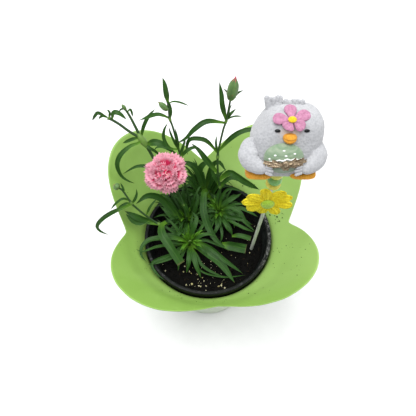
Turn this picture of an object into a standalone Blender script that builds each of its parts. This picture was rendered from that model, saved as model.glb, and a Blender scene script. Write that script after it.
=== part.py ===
"""A pot of pink dianthus in a flared four-lobed sleeve, with a plush chick on a stick.

Metres, +Z up. The origin is on the floor under the pot's axis, +X is the viewer's right and +Y points
away from the viewer. Lengths are written in millimetres and multiplied by MM. Places on the plant are
read off the reference photograph as (column, row, height): the pixel of its 416 by 416 frame where a
point shows, and how high that point is above the floor.
"""

import math
import random

import bmesh
import bpy
from mathutils import Matrix, Vector

MM = 0.001
GAP = 0.3 * MM
FULL_TURN = 2 * math.pi

# The photograph's view: how steeply it looks down, from how far, at what, and how wide.
VIEW_PITCH = math.radians(60)
VIEW_DISTANCE = 500 * MM
VIEW_AIM = Vector((0, 29, 105)) * MM
VIEW_FOCAL_PIXELS = 512
VIEW_CENTRE_PIXEL = 208
VIEW_FORWARD = Vector((0, math.cos(VIEW_PITCH), -math.sin(VIEW_PITCH)))
VIEW_RIGHT = Vector((1, 0, 0))
VIEW_UP = VIEW_RIGHT.cross(VIEW_FORWARD)
VIEW_EYE = VIEW_AIM - VIEW_FORWARD * VIEW_DISTANCE

# Sleeve: a cup around the pot, whose open top spreads into four round lobes.
SLEEVE_THICKNESS = 0.6 * MM
SLEEVE_BASE_RADIUS = 43 * MM
SLEEVE_THROAT_RADIUS = 62 * MM
SLEEVE_THROAT_HEIGHT = 97 * MM
SLEEVE_FLARE_START = math.radians(35.6)
SLEEVE_FLARE_END = math.radians(45.6)
SLEEVE_FLARE_LENGTH = 114 * MM
SLEEVE_SHIFT = Vector((2.1, 4.1, 0)) * MM
SLEEVE_SHIFT_REACH = 30 * MM
SLEEVE_TURN = math.radians(4.74)
SLEEVE_LOBE_SHARPNESS = 1.31
SLEEVE_LOBES = (76.1 * MM, 76.1 * MM, 68.9 * MM, 70.1 * MM)
SLEEVE_NOTCHES = (21.5 * MM, 23.9 * MM, 25.2 * MM, 29.1 * MM)
SLEEVE_SIDES = 48
SLEEVE_RINGS = 5

# Pot: a 12 cm nursery pot with a rolled rim and drain holes.
POT_FLOOR = SLEEVE_THICKNESS + GAP
POT_TOP = 105 * MM
POT_RIM_RADIUS = 60 * MM
POT_RIM_HEIGHT = 8 * MM
POT_RIM_WIDTH = 3.6 * MM
POT_RIM_ROUNDING = 1.2 * MM
POT_WALL = 1.5 * MM
POT_NECK_RADIUS = 55.5 * MM
POT_FOOT_RADIUS = 39 * MM
POT_FOOT_WIDTH = 5 * MM
POT_BOTTOM_LIFT = 2 * MM
POT_SIDES = 40
DRAIN_HOLE_COUNT = 6
DRAIN_HOLE_RADIUS = 4 * MM
DRAIN_HOLE_RING = 25 * MM

# Soil: it fills the pot to 15 mm under the rim.
SOIL_TOP = 90 * MM
SOIL_SIDES = 36

# Plant.
STEM_RADIUS = 1.2 * MM
STEM_SWELL = 1.7
STEM_SWELL_REACH = 4 * MM
STEM_CLEAR_TOP = 135 * MM
BUD_FOOT = 0.4
LEAF_THICKNESS = 0.8 * MM
LEAF_STEPS = 7
BLADE_STEPS = 4
FLOWER_RADIUS = 18.5 * MM
FLOWER_PLACE = (165.4, 172.2, 175)
FLOWER_TILT = math.radians(30)
FLOWER_SIDES = 28
PETAL_THICKNESS = 1.2 * MM
PETALS_DEPTH = -6 * MM
CALYX_FOOT = -25 * MM

# Pick: a stick pushed into the soil, with beads, a felt flower and a plush chick.
STICK_RADIUS = 1.5 * MM
STICK_SOIL_POINT = (251.4, 248.3, 90)
STICK_LEAN = Vector((0.072, 0, 1))
STICK_BOTTOM = 42 * MM
STICK_TOP = 234 * MM
FELT_FLOWER_HEIGHT = 179.7 * MM
FELT_FLOWER_RADIUS = 22 * MM
FELT_FLOWER_THICKNESS = 5.6 * MM
FELT_FLOWER_OVAL = 0.88
FELT_PETALS = 9
CHICK_PLACE = (287.4, 139, 250)
CHICK_LEAN_BACK = math.radians(-30)
CHICK_MIDDLE = Vector((-1.5, 0, 0)) * MM
CHICK_RADII = Vector((25, 20, 25)) * MM
BELLY_OFFSET = -4.7 * MM
EGG_RADII = Vector((13.7, 4.6, 11)) * MM
EGG_CENTRE = Vector((-4.7, -19.5, -5.8)) * MM
EGG_TILT = math.radians(-6)
WING_RADII = Vector((12.5, 7, 7.5)) * MM
WING_CENTRE = Vector((18.7, -10.5, -9.5)) * MM
WING_WRAP = math.radians(38)
WING_DROOP = math.radians(24)
FOOT_RADII = Vector((9.5, 7.5, 2.6)) * MM
FOOT_CENTRE = Vector((15.6, -11.5, -21.3)) * MM
EYE_RADII = Vector((1.9, 1.2, 1.1)) * MM
EYE_PLACE = (9.6 * MM, 13.5 * MM)
EYE_OFFSET = -0.3 * MM
EYE_OUTWARD = 0.6 * MM
CREST_RADII = Vector((5.4, 2.6, 6)) * MM
CREST_MIDDLE = Vector((-3.7, 3.5, 22.8)) * MM
CREST_SPREAD = Vector((7, 0, -0.7)) * MM
CREST_SPLAY = math.radians(16)
BEAK_RADII = Vector((4.6, 5, 3.6)) * MM
BEAK_PLACE = (-1.5 * MM, 9 * MM)
BEAK_OUTWARD = 1.4 * MM
HEAD_FLOWER_RADIUS = 12 * MM
HEAD_FLOWER_THICKNESS = 2.4 * MM
HEAD_FLOWER_PLACE = (-0.4 * MM, 21 * MM)
HEAD_FLOWER_OUTWARD = 1.6 * MM
HEAD_FLOWER_PETALS = 5
BOW_CENTRE = Vector((-4.6, -24.3, -9.4)) * MM
BOW_KNOT_RADII = Vector((3.2, 1.6, 3)) * MM
BOW_LOOP_RADII = Vector((6.4, 1.4, 3.6)) * MM
BOW_LOOP_OFFSET = Vector((6, 0, 0.4)) * MM
BOW_LOOP_TILT = math.radians(-8)

# Beads on the stick: how high each starts there, its height, its radius and its colour.
BEADS = {
    "ring_bead": (203.4 * MM, 4.2 * MM, 5.9 * MM, (0.55, 0.55, 0.12)),
    "green_bead": (208 * MM, 7 * MM, 5.6 * MM, (0.2, 0.42, 0.14)),
    "yellow_bead": (215.4 * MM, 8 * MM, 5.2 * MM, (0.52, 0.5, 0.06)),
}

# Stem routes from the ground up, each point (column, row, height in mm), with the points where a pair
# of leaves grows and the stem swells.
STEM_ROUTES = {
    "stem_a": (
        (181, 213, 98), (175, 201, 112), (164.6, 181, 130), (154.4, 160, 148),
        (147.4, 147.5, 159), (141, 139, 167), (128.3, 130.8, 175), (118.7, 123.8, 181),
        (108, 117.6, 186.5),
    ),
    "stem_b": (
        (191.7, 211.3, 98), (189, 199, 110), (185, 184, 129), (181.5, 167, 148), (180.2, 156, 160),
        (177.1, 143.2, 173), (172.9, 127.4, 189), (169.8, 118.9, 197), (168.6, 109.2, 206),
        (167.6, 102, 213),
    ),
    "stem_c": (
        (218, 209.5, 96), (219.9, 197, 110.5), (219.9, 186.6, 122.5), (218, 174, 137),
        (217.7, 156.5, 156), (219.5, 145.6, 167), (223.2, 129.8, 183), (226.2, 120.8, 192),
        (229.2, 106.2, 207), (230.4, 99.5, 213),
    ),
    "stem_d": (
        (183.5, 238.5, 98), (172, 231, 108), (158.4, 224, 116), (146, 215.7, 126), (135.9, 207.5, 134),
        (131.3, 203, 139), (122.7, 190.7, 149), (119, 188.2, 151.5),
    ),
    "stem_flower": (
        (186.6, 220, 98), (183.5, 205, 114), (175, 185.4, 135), (169, 176, 146),
    ),
    "stem_a_side": ((139, 134, 171), (130.8, 118, 184), (125.7, 109.8, 192)),
}
STEMS_FROM_SOIL = ("stem_a", "stem_b", "stem_c", "stem_d", "stem_flower")
STEM_NODE_ROWS = {
    "stem_a": (139, 117.6), "stem_b": (156, 118.9), "stem_c": (186.6, 156.5, 120.8),
    "stem_d": (224, 203), "stem_flower": (205,), "stem_a_side": (),
}

# Buds: the stem of each, where it is seated there, its tip, and its width in mm.
BUDS = {
    "bud_a": ("stem_a_side", (125.7, 109.8, 192), (121.5, 104, 198), 3.4),
    "bud_b": ("stem_b", (168.5, 109.5, 205), (157.9, 101.5, 215), 5.2),
    "bud_c": ("stem_c", (230.4, 99.5, 213), (236, 75.8, 236), 9.2),
    "bud_d": ("stem_d", (119, 188.2, 151.5), (113.5, 184.5, 156), 6.6),
}

# Long leaves on the stems: the stem that each grows from, its width in mm and its route to the tip.
# The first point only says where on the stem the leaf is seated.
LEAVES = {
    "leaf_a_tip_left": (
        "stem_a", 3.2,
        ((105.5, 116.5, 187), (98.9, 113, 191), (95.7, 114.9, 189), (92.2, 120.6, 182)),
    ),
    "leaf_a_tip_right": (
        "stem_a", 4.6,
        ((113, 120, 184.5), (114, 113, 192), (119.5, 113.8, 192), (126.4, 119.3, 186)),
    ),
    "leaf_a_up": (
        "stem_a", 3.6,
        ((141, 138.5, 168), (144, 125.7, 178.5), (149.3, 115.5, 186), (155.6, 108.6, 190)),
    ),
    "leaf_a_curl": (
        "stem_a", 4.4,
        (
            (142, 140, 166), (137.2, 143.8, 168), (130.8, 145.9, 168), (120.6, 154.7, 163),
            (117, 164.9, 155), (120.6, 175.1, 145), (126.7, 180.2, 139), (134.4, 183.3, 134),
        ),
    ),
    "leaf_a_right": (
        "stem_a", 6.4,
        ((146.5, 146, 161), (154, 142.5, 165.5), (162.1, 144.2, 165), (168.5, 148.1, 160)),
    ),
    "leaf_flower_left": (
        "stem_flower", 3.4,
        ((175, 185.4, 135), (154, 169, 149), (138, 166.2, 149), (122.7, 174, 140)),
    ),
    "leaf_b_tip": (
        "stem_b", 4.6,
        ((167, 99, 217), (166.1, 92, 223), (164.6, 85, 228), (162.5, 79, 231.5)),
    ),
    "leaf_b_left": (
        "stem_b", 3.8,
        (
            (169, 118, 198), (163, 115.6, 202), (157.6, 114.6, 202), (150.6, 116.1, 199),
            (138.5, 120.6, 191),
        ),
    ),
    "leaf_c_up": (
        "stem_c", 4.6,
        ((226, 120, 193), (222.6, 106, 206), (221.6, 95, 213), (219.4, 82, 221.5)),
    ),
    "leaf_c_arch": (
        "stem_c", 4.8,
        (
            (225.5, 123, 190), (207.4, 121.4, 197), (195, 129, 193), (186, 138.3, 184),
            (177, 143.2, 177),
        ),
    ),
    "leaf_c_behind": (
        "stem_c", 4.6,
        ((219, 149, 163), (231, 138, 178), (243, 131, 185), (256, 129.5, 186), (268, 134, 181)),
    ),
    "leaf_c_left": (
        "stem_c", 4.2,
        (
            (218.5, 150, 162), (207.4, 141.4, 171), (198, 138.6, 172), (190, 139.5, 169),
            (187, 146, 161), (187.4, 154.7, 152),
        ),
    ),
    "leaf_c_low": (
        "stem_c", 5.6,
        ((217.5, 170, 142), (206.8, 160.8, 152), (198.9, 150.5, 163), (191.5, 143.5, 165)),
    ),
    "leaf_c_right": (
        "stem_c", 6.4,
        (
            (218.5, 178, 133), (229, 172.5, 143), (236.5, 175.8, 142), (244.8, 181.6, 137),
            (259.5, 189.8, 122),
        ),
    ),
    "leaf_d_arch": (
        "stem_d", 4.2,
        (
            (131.3, 203.5, 138.5), (120.6, 208.6, 141), (110.4, 213.2, 137), (101.7, 219.3, 130),
            (97.1, 225.9, 123), (100.2, 231, 117), (108.4, 234.8, 111),
        ),
    ),
    "leaf_d_upper": (
        "stem_d", 2.6,
        ((129, 199.5, 142), (123.2, 198.9, 146.5), (116.5, 203, 144), (110.4, 209.6, 138)),
    ),
}

# Rosettes of leaves at the soil. Each has its crown and that crown's radius and rise in mm, then the
# leaves that show well as (width in mm, route). Fillers stand between those: how many, their arc of
# directions in degrees, their reach in mm and their lift as a part of it. Its stems are kept clear.
ROSETTES = {
    "rosette_front": {
        "crown": (190, 243, 95),
        "crown_size": (3.2, 6),
        "leaves": (
            (4.6, ((191, 237, 103), (194.6, 226, 113), (197, 218, 117), (194.5, 211, 117))),
            (6.4, ((198, 243, 101), (211.6, 248.8, 108), (224, 259.6, 106), (243, 273.6, 97))),
            (7.2, ((196, 247, 100), (211.6, 256.4, 103), (222.4, 265.5, 100), (234.8, 282.8, 93))),
            (4.8, ((190, 250, 102), (188.7, 263, 101), (186.5, 273, 94))),
            (4.8, ((193, 252, 101), (196.5, 266, 100), (201.2, 278.2, 93))),
            (5.0, ((184, 240, 103), (171, 238, 109), (151.3, 239.3, 111), (141.7, 248.8, 108))),
            (4.6, ((186, 248, 101), (173, 257, 104), (159, 262, 106), (149, 265, 107))),
        ),
        "filler_count": 4,
        "filler_arc": (200, 330),
        "filler_reach": (16, 24),
        "filler_lift": (0.4, 0.7),
        "stems": ("stem_d",),
        "seed": 3,
    },
    "rosette_middle": {
        "crown": (187, 218, 93),
        "crown_size": (6, 4),
        "leaves": (
            (8.0, ((180, 222, 99), (172, 211, 112), (161, 198, 125), (148, 195.8, 130), (136.5, 203, 126))),
            (7.4, ((178, 226, 101), (167, 229, 113), (163, 236, 119), (172, 252, 114), (181.3, 264, 106))),
        ),
        "filler_count": 8,
        "filler_arc": (20, 270),
        "filler_reach": (20, 28),
        "filler_lift": (0.6, 0.9),
        "stems": ("stem_a", "stem_b", "stem_flower", "stem_d"),
        "seed": 9,
    },
    "rosette_right": {
        "crown": (218, 211.5, 93),
        "crown_size": (4, 2),
        "leaves": (
            (4.8, ((223, 207, 98), (231.5, 200, 106), (241.4, 195, 108))),
            (4.8, ((224, 210, 98), (234, 208, 106), (241.4, 214.8, 106), (248, 226.4, 98))),
            (4.4, ((222, 214, 98), (231, 219, 104), (242, 220.5, 104), (252.2, 226, 98))),
            (4.8, ((220, 216, 98), (227, 224, 100), (232, 234, 96))),
            (6.6, ((212, 206, 100), (206, 203, 112), (203.5, 213, 114), (210, 231, 106), (224, 250, 96))),
        ),
        "filler_count": 6,
        "filler_arc": (40, 150),
        "filler_reach": (14, 19),
        "filler_lift": (0.5, 0.8),
        "stems": ("stem_c",),
        "seed": 5,
    },
    "rosette_back": {
        "crown": (205, 199, 93),
        "crown_size": (3, 16),
        "leaves": (
            (7.4, ((203, 186, 106), (197, 170, 127), (186.3, 163, 137), (176, 166, 136))),
            (5.6, ((206, 184, 106), (212, 166, 133), (219, 162.5, 138), (226, 171, 131))),
        ),
        "filler_count": 7,
        "filler_arc": (20, 170),
        "filler_reach": (16, 24),
        "filler_lift": (1.0, 1.3),
        "stems": (),
        "seed": 11,
    },
}


def place(column, row, height_mm):
    """The point at this height that shows at this pixel of the photograph."""
    across = (column - VIEW_CENTRE_PIXEL) / VIEW_FOCAL_PIXELS
    down = (row - VIEW_CENTRE_PIXEL) / VIEW_FOCAL_PIXELS
    ray = VIEW_FORWARD + VIEW_RIGHT * across - VIEW_UP * down
    return VIEW_EYE + ray * ((height_mm * MM - VIEW_EYE.z) / ray.z)


def smooth_route(points, count):
    """This many points, evenly spaced, along a smooth curve through the given ones."""
    fine_steps = 12
    ends = [2 * points[0] - points[1], *points, 2 * points[-1] - points[-2]]
    fine = []
    for a, b, c, d in zip(ends, ends[1:], ends[2:], ends[3:]):
        for step in range(fine_steps):
            t = step / fine_steps
            curve = 2 * b + (c - a) * t + (2 * a - 5 * b + 4 * c - d) * t**2
            fine.append(0.5 * (curve + (3 * b - a - 3 * c + d) * t**3))
    fine.append(points[-1])
    lengths = [0.0]
    for first, second in zip(fine, fine[1:]):
        lengths.append(lengths[-1] + (second - first).length)
    route = []
    for index in range(count):
        wanted = lengths[-1] * index / (count - 1)
        after = next((i for i, length in enumerate(lengths) if length >= wanted and i > 0), len(fine) - 1)
        span = lengths[after] - lengths[after - 1]
        route.append(fine[after - 1].lerp(fine[after], (wanted - lengths[after - 1]) / span))
    return route


def material(name, color, roughness=0.6, metallic=0.0):
    made = bpy.data.materials.get(name) or bpy.data.materials.new(name)
    made.use_nodes = True
    shader = made.node_tree.nodes["Principled BSDF"]
    shader.inputs["Base Color"].default_value = (*color, 1)
    shader.inputs["Roughness"].default_value = roughness
    shader.inputs["Metallic"].default_value = metallic
    return made


def add_object(name, data, collection, look=None):
    made = bpy.data.objects.new(name, data)
    collection.objects.link(made)
    if look:
        made.data.materials.append(look)
    return made


def mesh_from(bm, name, smooth_degrees=40):
    mesh = bpy.data.meshes.new(name)
    bm.to_mesh(mesh)
    bm.free()
    mesh.shade_smooth()
    mesh.set_sharp_from_angle(angle=math.radians(smooth_degrees))
    return mesh


def surface(columns, rows, point_at):
    """An open sheet, each point placed by point_at(across, along), which both run from 0 to 1."""
    bm = bmesh.new()
    bmesh.ops.create_grid(bm, x_segments=columns, y_segments=rows, size=1)
    for vert in bm.verts:
        vert.co = point_at((vert.co.x + 1) / 2, (vert.co.y + 1) / 2)
    bmesh.ops.remove_doubles(bm, verts=bm.verts, dist=0.01 * MM)
    return bm


def solidify(made, thickness, offset):
    """Thickens a sheet: offset -1 keeps its face as the outer side, and 0 as the middle."""
    modifier = made.modifiers.new("Thickness", "SOLIDIFY")
    modifier.thickness = thickness
    modifier.offset = offset
    modifier.use_even_offset = True


def boolean(made, other, operation):
    modifier = made.modifiers.new(operation.title(), "BOOLEAN")
    modifier.operation = operation
    modifier.solver = "EXACT"
    if isinstance(other, bpy.types.Collection):
        modifier.operand_type = "COLLECTION"
        modifier.collection = other
    else:
        modifier.object = other


def turned(name, profile, sides, collection, look, matrix=None):
    """The closed profile of (radius, height) turned about Z. It runs down its outer side."""
    mesh = bpy.data.meshes.new(name)
    points = [(radius, 0, height) for radius, height in profile]
    open_ended = profile[0][0] == 0 and profile[-1][0] == 0
    edges = [(i, i + 1) for i in range(len(points) - 1)]
    if not open_ended:
        edges.append((len(points) - 1, 0))
    mesh.from_pydata(points, edges, [])
    made = add_object(name, mesh, collection, look)
    screw = made.modifiers.new("Turn", "SCREW")
    screw.steps = sides
    screw.render_steps = sides
    screw.use_merge_vertices = True
    screw.merge_threshold = 0.00001
    screw.use_smooth_shade = True
    if matrix:
        made.matrix_world = matrix
    return made


def upright_at(origin, direction):
    """The matrix that stands an object made along +Z at this place and along this direction."""
    return Matrix.Translation(origin) @ direction.to_track_quat("Z", "Y").to_matrix().to_4x4()


def sleeve_profile(distance):
    """Radius and height this far along the flare from the throat."""
    spread = (SLEEVE_FLARE_END - SLEEVE_FLARE_START) / SLEEVE_FLARE_LENGTH
    angle = SLEEVE_FLARE_START + spread * distance
    radius = SLEEVE_THROAT_RADIUS + (math.cos(SLEEVE_FLARE_START) - math.cos(angle)) / spread
    height = SLEEVE_THROAT_HEIGHT + (math.sin(angle) - math.sin(SLEEVE_FLARE_START)) / spread
    return radius, height


def sleeve_outline(angle):
    """How far along the flare the cut edge runs, in this direction."""
    quarter = (angle - SLEEVE_TURN) / (math.pi / 2)
    lobe = math.floor(quarter) % 4
    part = quarter - math.floor(quarter)
    notch = SLEEVE_NOTCHES[lobe] * (1 - part) + SLEEVE_NOTCHES[(lobe + 1) % 4] * part
    return notch + (SLEEVE_LOBES[lobe] - notch) * math.sin(math.pi * part) ** SLEEVE_LOBE_SHARPNESS


def sleeve_point(around, along):
    """The sleeve's inner face: the middle of its base, its foot, its throat, then the flare's rings."""
    angle = SLEEVE_TURN + around * FULL_TURN
    ring = round(along * (SLEEVE_RINGS + 2))
    shift = Vector((0, 0, 0))
    if ring == 0:
        radius, height = 0, SLEEVE_THICKNESS
    elif ring == 1:
        radius, height = SLEEVE_BASE_RADIUS - SLEEVE_THICKNESS, SLEEVE_THICKNESS
    elif ring == 2:
        radius, height = SLEEVE_THROAT_RADIUS, SLEEVE_THROAT_HEIGHT
    else:
        distance = sleeve_outline(angle) * (ring - 2) / SLEEVE_RINGS
        radius, height = sleeve_profile(distance)
        shift = SLEEVE_SHIFT * min(1, distance / SLEEVE_SHIFT_REACH)
    return Vector((radius * math.cos(angle), radius * math.sin(angle), height)) + shift


def build_sleeve(collection):
    """The sleeve as one sheet, thickened away from the plant."""
    bm = surface(SLEEVE_SIDES, SLEEVE_RINGS + 2, sleeve_point)
    bmesh.ops.recalc_face_normals(bm, faces=bm.faces)
    if sum(face.normal.z for face in bm.faces) < 0:
        bmesh.ops.reverse_faces(bm, faces=bm.faces)
    look = material("sleeve_green", (0.26, 0.45, 0.11), 0.5)
    made = add_object("sleeve", mesh_from(bm, "sleeve", 30), collection, look)
    solidify(made, SLEEVE_THICKNESS, -1)


def pot_inner_radius(height):
    """The inside of the pot's tapered wall at this height."""
    low, high = POT_FLOOR, POT_TOP - POT_RIM_HEIGHT
    part = (height - low) / (high - low)
    return POT_FOOT_RADIUS + (POT_NECK_RADIUS - POT_FOOT_RADIUS) * part - POT_WALL


def build_pot(collection, cutters):
    """The pot turned about its axis, with its drain holes cut through the bottom."""
    rim_under = POT_TOP - POT_RIM_HEIGHT
    inside_floor = POT_FLOOR + POT_BOTTOM_LIFT + POT_WALL
    rim_inner = POT_RIM_RADIUS - POT_RIM_WIDTH
    profile = (
        (0, inside_floor),
        (pot_inner_radius(inside_floor), inside_floor),
        (pot_inner_radius(rim_under), rim_under),
        (rim_inner, POT_TOP - POT_RIM_ROUNDING),
        (rim_inner + POT_RIM_ROUNDING, POT_TOP),
        (POT_RIM_RADIUS - POT_RIM_ROUNDING, POT_TOP),
        (POT_RIM_RADIUS, POT_TOP - POT_RIM_ROUNDING),
        (POT_RIM_RADIUS - 0.4 * MM, rim_under),
        (POT_NECK_RADIUS, rim_under),
        (POT_FOOT_RADIUS, POT_FLOOR),
        (POT_FOOT_RADIUS - POT_FOOT_WIDTH, POT_FLOOR),
        (POT_FOOT_RADIUS - POT_FOOT_WIDTH - POT_BOTTOM_LIFT, POT_FLOOR + POT_BOTTOM_LIFT),
        (0, POT_FLOOR + POT_BOTTOM_LIFT),
    )
    pot = turned("pot", profile, POT_SIDES, collection, material("pot_plastic", (0.02, 0.022, 0.024), 0.5))
    for index in range(DRAIN_HOLE_COUNT):
        angle = FULL_TURN * index / DRAIN_HOLE_COUNT
        bpy.ops.mesh.primitive_cylinder_add(
            vertices=12,
            radius=DRAIN_HOLE_RADIUS,
            depth=12 * MM,
            location=(DRAIN_HOLE_RING * math.cos(angle), DRAIN_HOLE_RING * math.sin(angle), inside_floor),
        )
        hole = as_cutter(bpy.context.object, f"drain_hole_{index + 1}", cutters)
        boolean(pot, hole, "DIFFERENCE")


def as_cutter(made, name, cutters):
    """Moves the object to the hidden cutters."""
    for linked in list(made.users_collection):
        linked.objects.unlink(made)
    cutters.objects.link(made)
    made.name = name
    made.hide_render = True
    made.display_type = "WIRE"
    return made


def build_soil(collection, stick_clearance):
    """The soil as one solid that fits inside the pot, with a hole for the stick."""
    floor = POT_FLOOR + POT_BOTTOM_LIFT + POT_WALL + GAP
    fit = GAP * 1.3
    profile = (
        (0, SOIL_TOP),
        (pot_inner_radius(SOIL_TOP) - fit, SOIL_TOP),
        (pot_inner_radius(floor) - fit, floor),
        (0, floor),
    )
    soil = turned("soil", profile, SOIL_SIDES, collection, material("potting_soil", (0.012, 0.01, 0.008), 1))
    boolean(soil, stick_clearance, "DIFFERENCE")


def tube(name, route, radii, collection, look):
    """A round tube of these radii along the route, with closed ends."""
    curve = bpy.data.curves.new(name, "CURVE")
    curve.dimensions = "3D"
    curve.bevel_depth = 1
    curve.bevel_resolution = 2
    curve.use_fill_caps = True
    spline = curve.splines.new("POLY")
    spline.points.add(len(route) - 1)
    for point, at, radius in zip(spline.points, route, radii):
        point.co = (*at, 1)
        point.radius = radius
    return add_object(name, curve, collection, look)


def stem_shape(name):
    """The stem's route and its radius at each point: it thins towards its end and swells at its nodes."""
    pixels = STEM_ROUTES[name]
    points = [place(*pixel) for pixel in pixels]
    nodes = [point for point, pixel in zip(points, pixels) if pixel[1] in STEM_NODE_ROWS[name]]
    if name == "stem_flower":
        points.append(flower_frame() @ Vector((0, 0, CALYX_FOOT - 2 * GAP)))
    if name == "stem_a_side":
        points[0] = seat_on("stem_a", points[0], points[1], STEM_RADIUS)
    count = max(6, 2 * len(points))
    route = smooth_route(points, count)
    radii = []
    for index, at in enumerate(route):
        radius = STEM_RADIUS * (1 - 0.3 * index / count)
        near = min([(at - node).length for node in nodes], default=1)
        radii.append(radius * (1 + (STEM_SWELL - 1) * max(0, 1 - near / STEM_SWELL_REACH)))
    return route, radii


def seat_on(stem, near, towards, half_size):
    """Where a piece of this half size starts, on the side of the stem and a gap away from it."""
    route, radii = stem_shape(stem)
    index = min(range(len(route)), key=lambda i: (route[i] - near).length)
    at, radius = route[index], radii[index]
    away = towards - at
    if index == len(route) - 1:
        return at + away.normalized() * (2 * GAP)
    along = (route[index + 1] - at).normalized()
    away -= along * away.dot(along)
    return at + away.normalized() * (radius + GAP + half_size)


def build_stem(name, collection):
    """A round stem from its crown to its tip."""
    route, radii = stem_shape(name)
    look = material("stem_green", (0.09, 0.18, 0.05), 0.55)
    tube(name, route, radii, collection, look)


def stem_clearance(name, cutters):
    """A cutter that keeps the leaves of a rosette away from the lower part of a stem."""
    route, radii = stem_shape(name)
    lower = [at for at in route if at.z < STEM_CLEAR_TOP]
    wide = [radius + GAP * 1.2 for radius in radii[: len(lower)]]
    start = lower[0] - (lower[1] - lower[0]).normalized() * GAP
    solid = as_mesh(tube(name + "_clearance", [start, *lower[1:]], wide, cutters, None))
    return as_cutter(solid, name + "_clearance", cutters)


def build_bud(name, collection):
    """A closed bud: a pointed oval calyx turned about its own length."""
    stem, start, tip, width = BUDS[name]
    base = seat_on(stem, place(*start), place(*tip), BUD_FOOT * width * MM / 2)
    direction = place(*tip) - base
    length = direction.length
    half = width * MM / 2
    profile = (
        (0, length),
        (0.35 * half, 0.93 * length),
        (0.85 * half, 0.72 * length),
        (half, 0.42 * length),
        (0.78 * half, 0.12 * length),
        (BUD_FOOT * half, 0),
        (0, 0),
    )
    look = material("bud_green", (0.14, 0.26, 0.09), 0.55)
    turned(name, profile, 10, collection, look, upright_at(base, direction))


def leaf_width(along):
    """A leaf's width along its length, as a part of its widest."""
    return min(1, 0.36 + 1.9 * along) * max(0.08, 1 - along**3)


def ribbon(route, width, steps, facing):
    """An open strip along the route, whose face turns towards the given direction."""
    points = smooth_route(route, steps + 1)

    def point_at(across, along):
        index = round(along * steps)
        before, after = points[max(0, index - 1)], points[min(steps, index + 1)]
        side = (after - before).cross(facing).normalized()
        return points[index] + side * ((across - 0.5) * width * leaf_width(along))

    bm = surface(1, steps, point_at)
    bmesh.ops.recalc_face_normals(bm, faces=bm.faces)
    return bm


def build_leaf(name, collection):
    """A long narrow leaf, seated on its stem, whose face turns to the viewer."""
    stem, width, pixels = LEAVES[name]
    points = [place(*pixel) for pixel in pixels]
    points[0] = seat_on(stem, points[0], points[1], LEAF_THICKNESS / 2)
    bm = ribbon(points, width * MM, LEAF_STEPS, -VIEW_FORWARD)
    look = material("leaf_green", (0.045, 0.11, 0.035), 0.5)
    solidify(add_object(name, mesh_from(bm, name), collection, look), LEAF_THICKNESS, 0)


def filler_route(crown, angle, reach, rise):
    """A leaf that grows out of the crown, arches over and dips at its tip."""
    outward = Vector((math.cos(angle), math.sin(angle), 0))
    points = []
    for part in (0.05, 0.35, 0.7, 1):
        height = rise * math.sin(part * 2.3)
        points.append(crown + outward * (reach * part) + Vector((0, 0, height)))
    return points


def build_rosette(name, collection, cutters, clearances):
    """The leaves that grow from one crown, joined to it as one solid."""
    layout = ROSETTES[name]
    crown = place(*layout["crown"])
    radius, rise = (value * MM for value in layout["crown_size"])
    foot = SOIL_TOP + GAP
    top = crown.z + rise
    leaves = bpy.data.collections.new(name + "_leaves")
    cutters.children.link(leaves)
    routes = []
    for width, pixels in layout["leaves"]:
        points = [place(*pixel) for pixel in pixels]
        inner = Vector((crown.x, crown.y, min(max(points[0].z, foot + 2 * MM), top - 1 * MM)))
        routes.append((width * MM, [inner + (points[0] - inner).normalized() * 0.4 * radius, *points]))
    rng = random.Random(layout["seed"])
    low, high = layout["filler_arc"]
    for index in range(layout["filler_count"]):
        share = (index + 0.5) / layout["filler_count"]
        angle = math.radians(low + (high - low) * share + rng.uniform(-6, 6))
        reach = rng.uniform(*layout["filler_reach"]) * MM
        lift = reach * rng.uniform(*layout["filler_lift"])
        start = Vector((crown.x, crown.y, foot + 1 * MM + 0.5 * (top - foot) * (index * 0.618 % 1)))
        routes.append((rng.uniform(4, 5) * MM, filler_route(start, angle, reach, lift)))
    for index, (width, route) in enumerate(routes):
        bm = ribbon(route, width, BLADE_STEPS, Vector((0, 0, 1)))
        blade = add_object(f"{name}_leaf_{index + 1}", mesh_from(bm, "blade"), leaves)
        solidify(blade, LEAF_THICKNESS, 0)
        blade.hide_render = True
        blade.display_type = "WIRE"
    profile = ((0, top), (0.6 * radius, top), (radius, foot), (0, foot))
    look = material("rosette_green", (0.04, 0.1, 0.03), 0.5)
    matrix = Matrix.Translation((crown.x, crown.y, 0))
    rosette = turned(name, profile, 10, collection, look, matrix)
    boolean(rosette, leaves, "UNION")
    for stem in layout["stems"]:
        boolean(rosette, clearances[stem], "DIFFERENCE")


def flower_frame():
    """The flower's matrix: its own +Z is the way that it faces."""
    centre = place(*FLOWER_PLACE)
    facing = Matrix.Rotation(FLOWER_TILT, 4, "X")
    return Matrix.Translation(centre) @ facing


def petal_layer(name, radius, depth, rise, lobes, collection):
    """A ruffled dish of petals. Its middle sits this deep and its edge rises this far."""

    def point_at(around, along):
        angle = around * FULL_TURN
        ruffle = math.sin(lobes * angle)
        reach = radius * (0.12 + 0.88 * along) * (1 + 0.05 * ruffle * along)
        height = depth + rise * along**1.5 + 0.8 * MM * ruffle * along**2
        return Vector((reach * math.cos(angle), reach * math.sin(angle), height))

    bm = surface(FLOWER_SIDES, 2, point_at)
    bmesh.ops.contextual_create(bm, geom=[edge for edge in bm.edges if on_inner_ring(edge, 0.13 * radius)])
    bmesh.ops.recalc_face_normals(bm, faces=bm.faces)
    if sum(face.normal.z for face in bm.faces) < 0:
        bmesh.ops.reverse_faces(bm, faces=bm.faces)
    look = material("petal_pink", (0.78, 0.28, 0.38), 0.6)
    made = add_object(name, mesh_from(bm, name), collection, look)
    solidify(made, PETAL_THICKNESS, -1)
    made.matrix_world = flower_frame()


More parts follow.
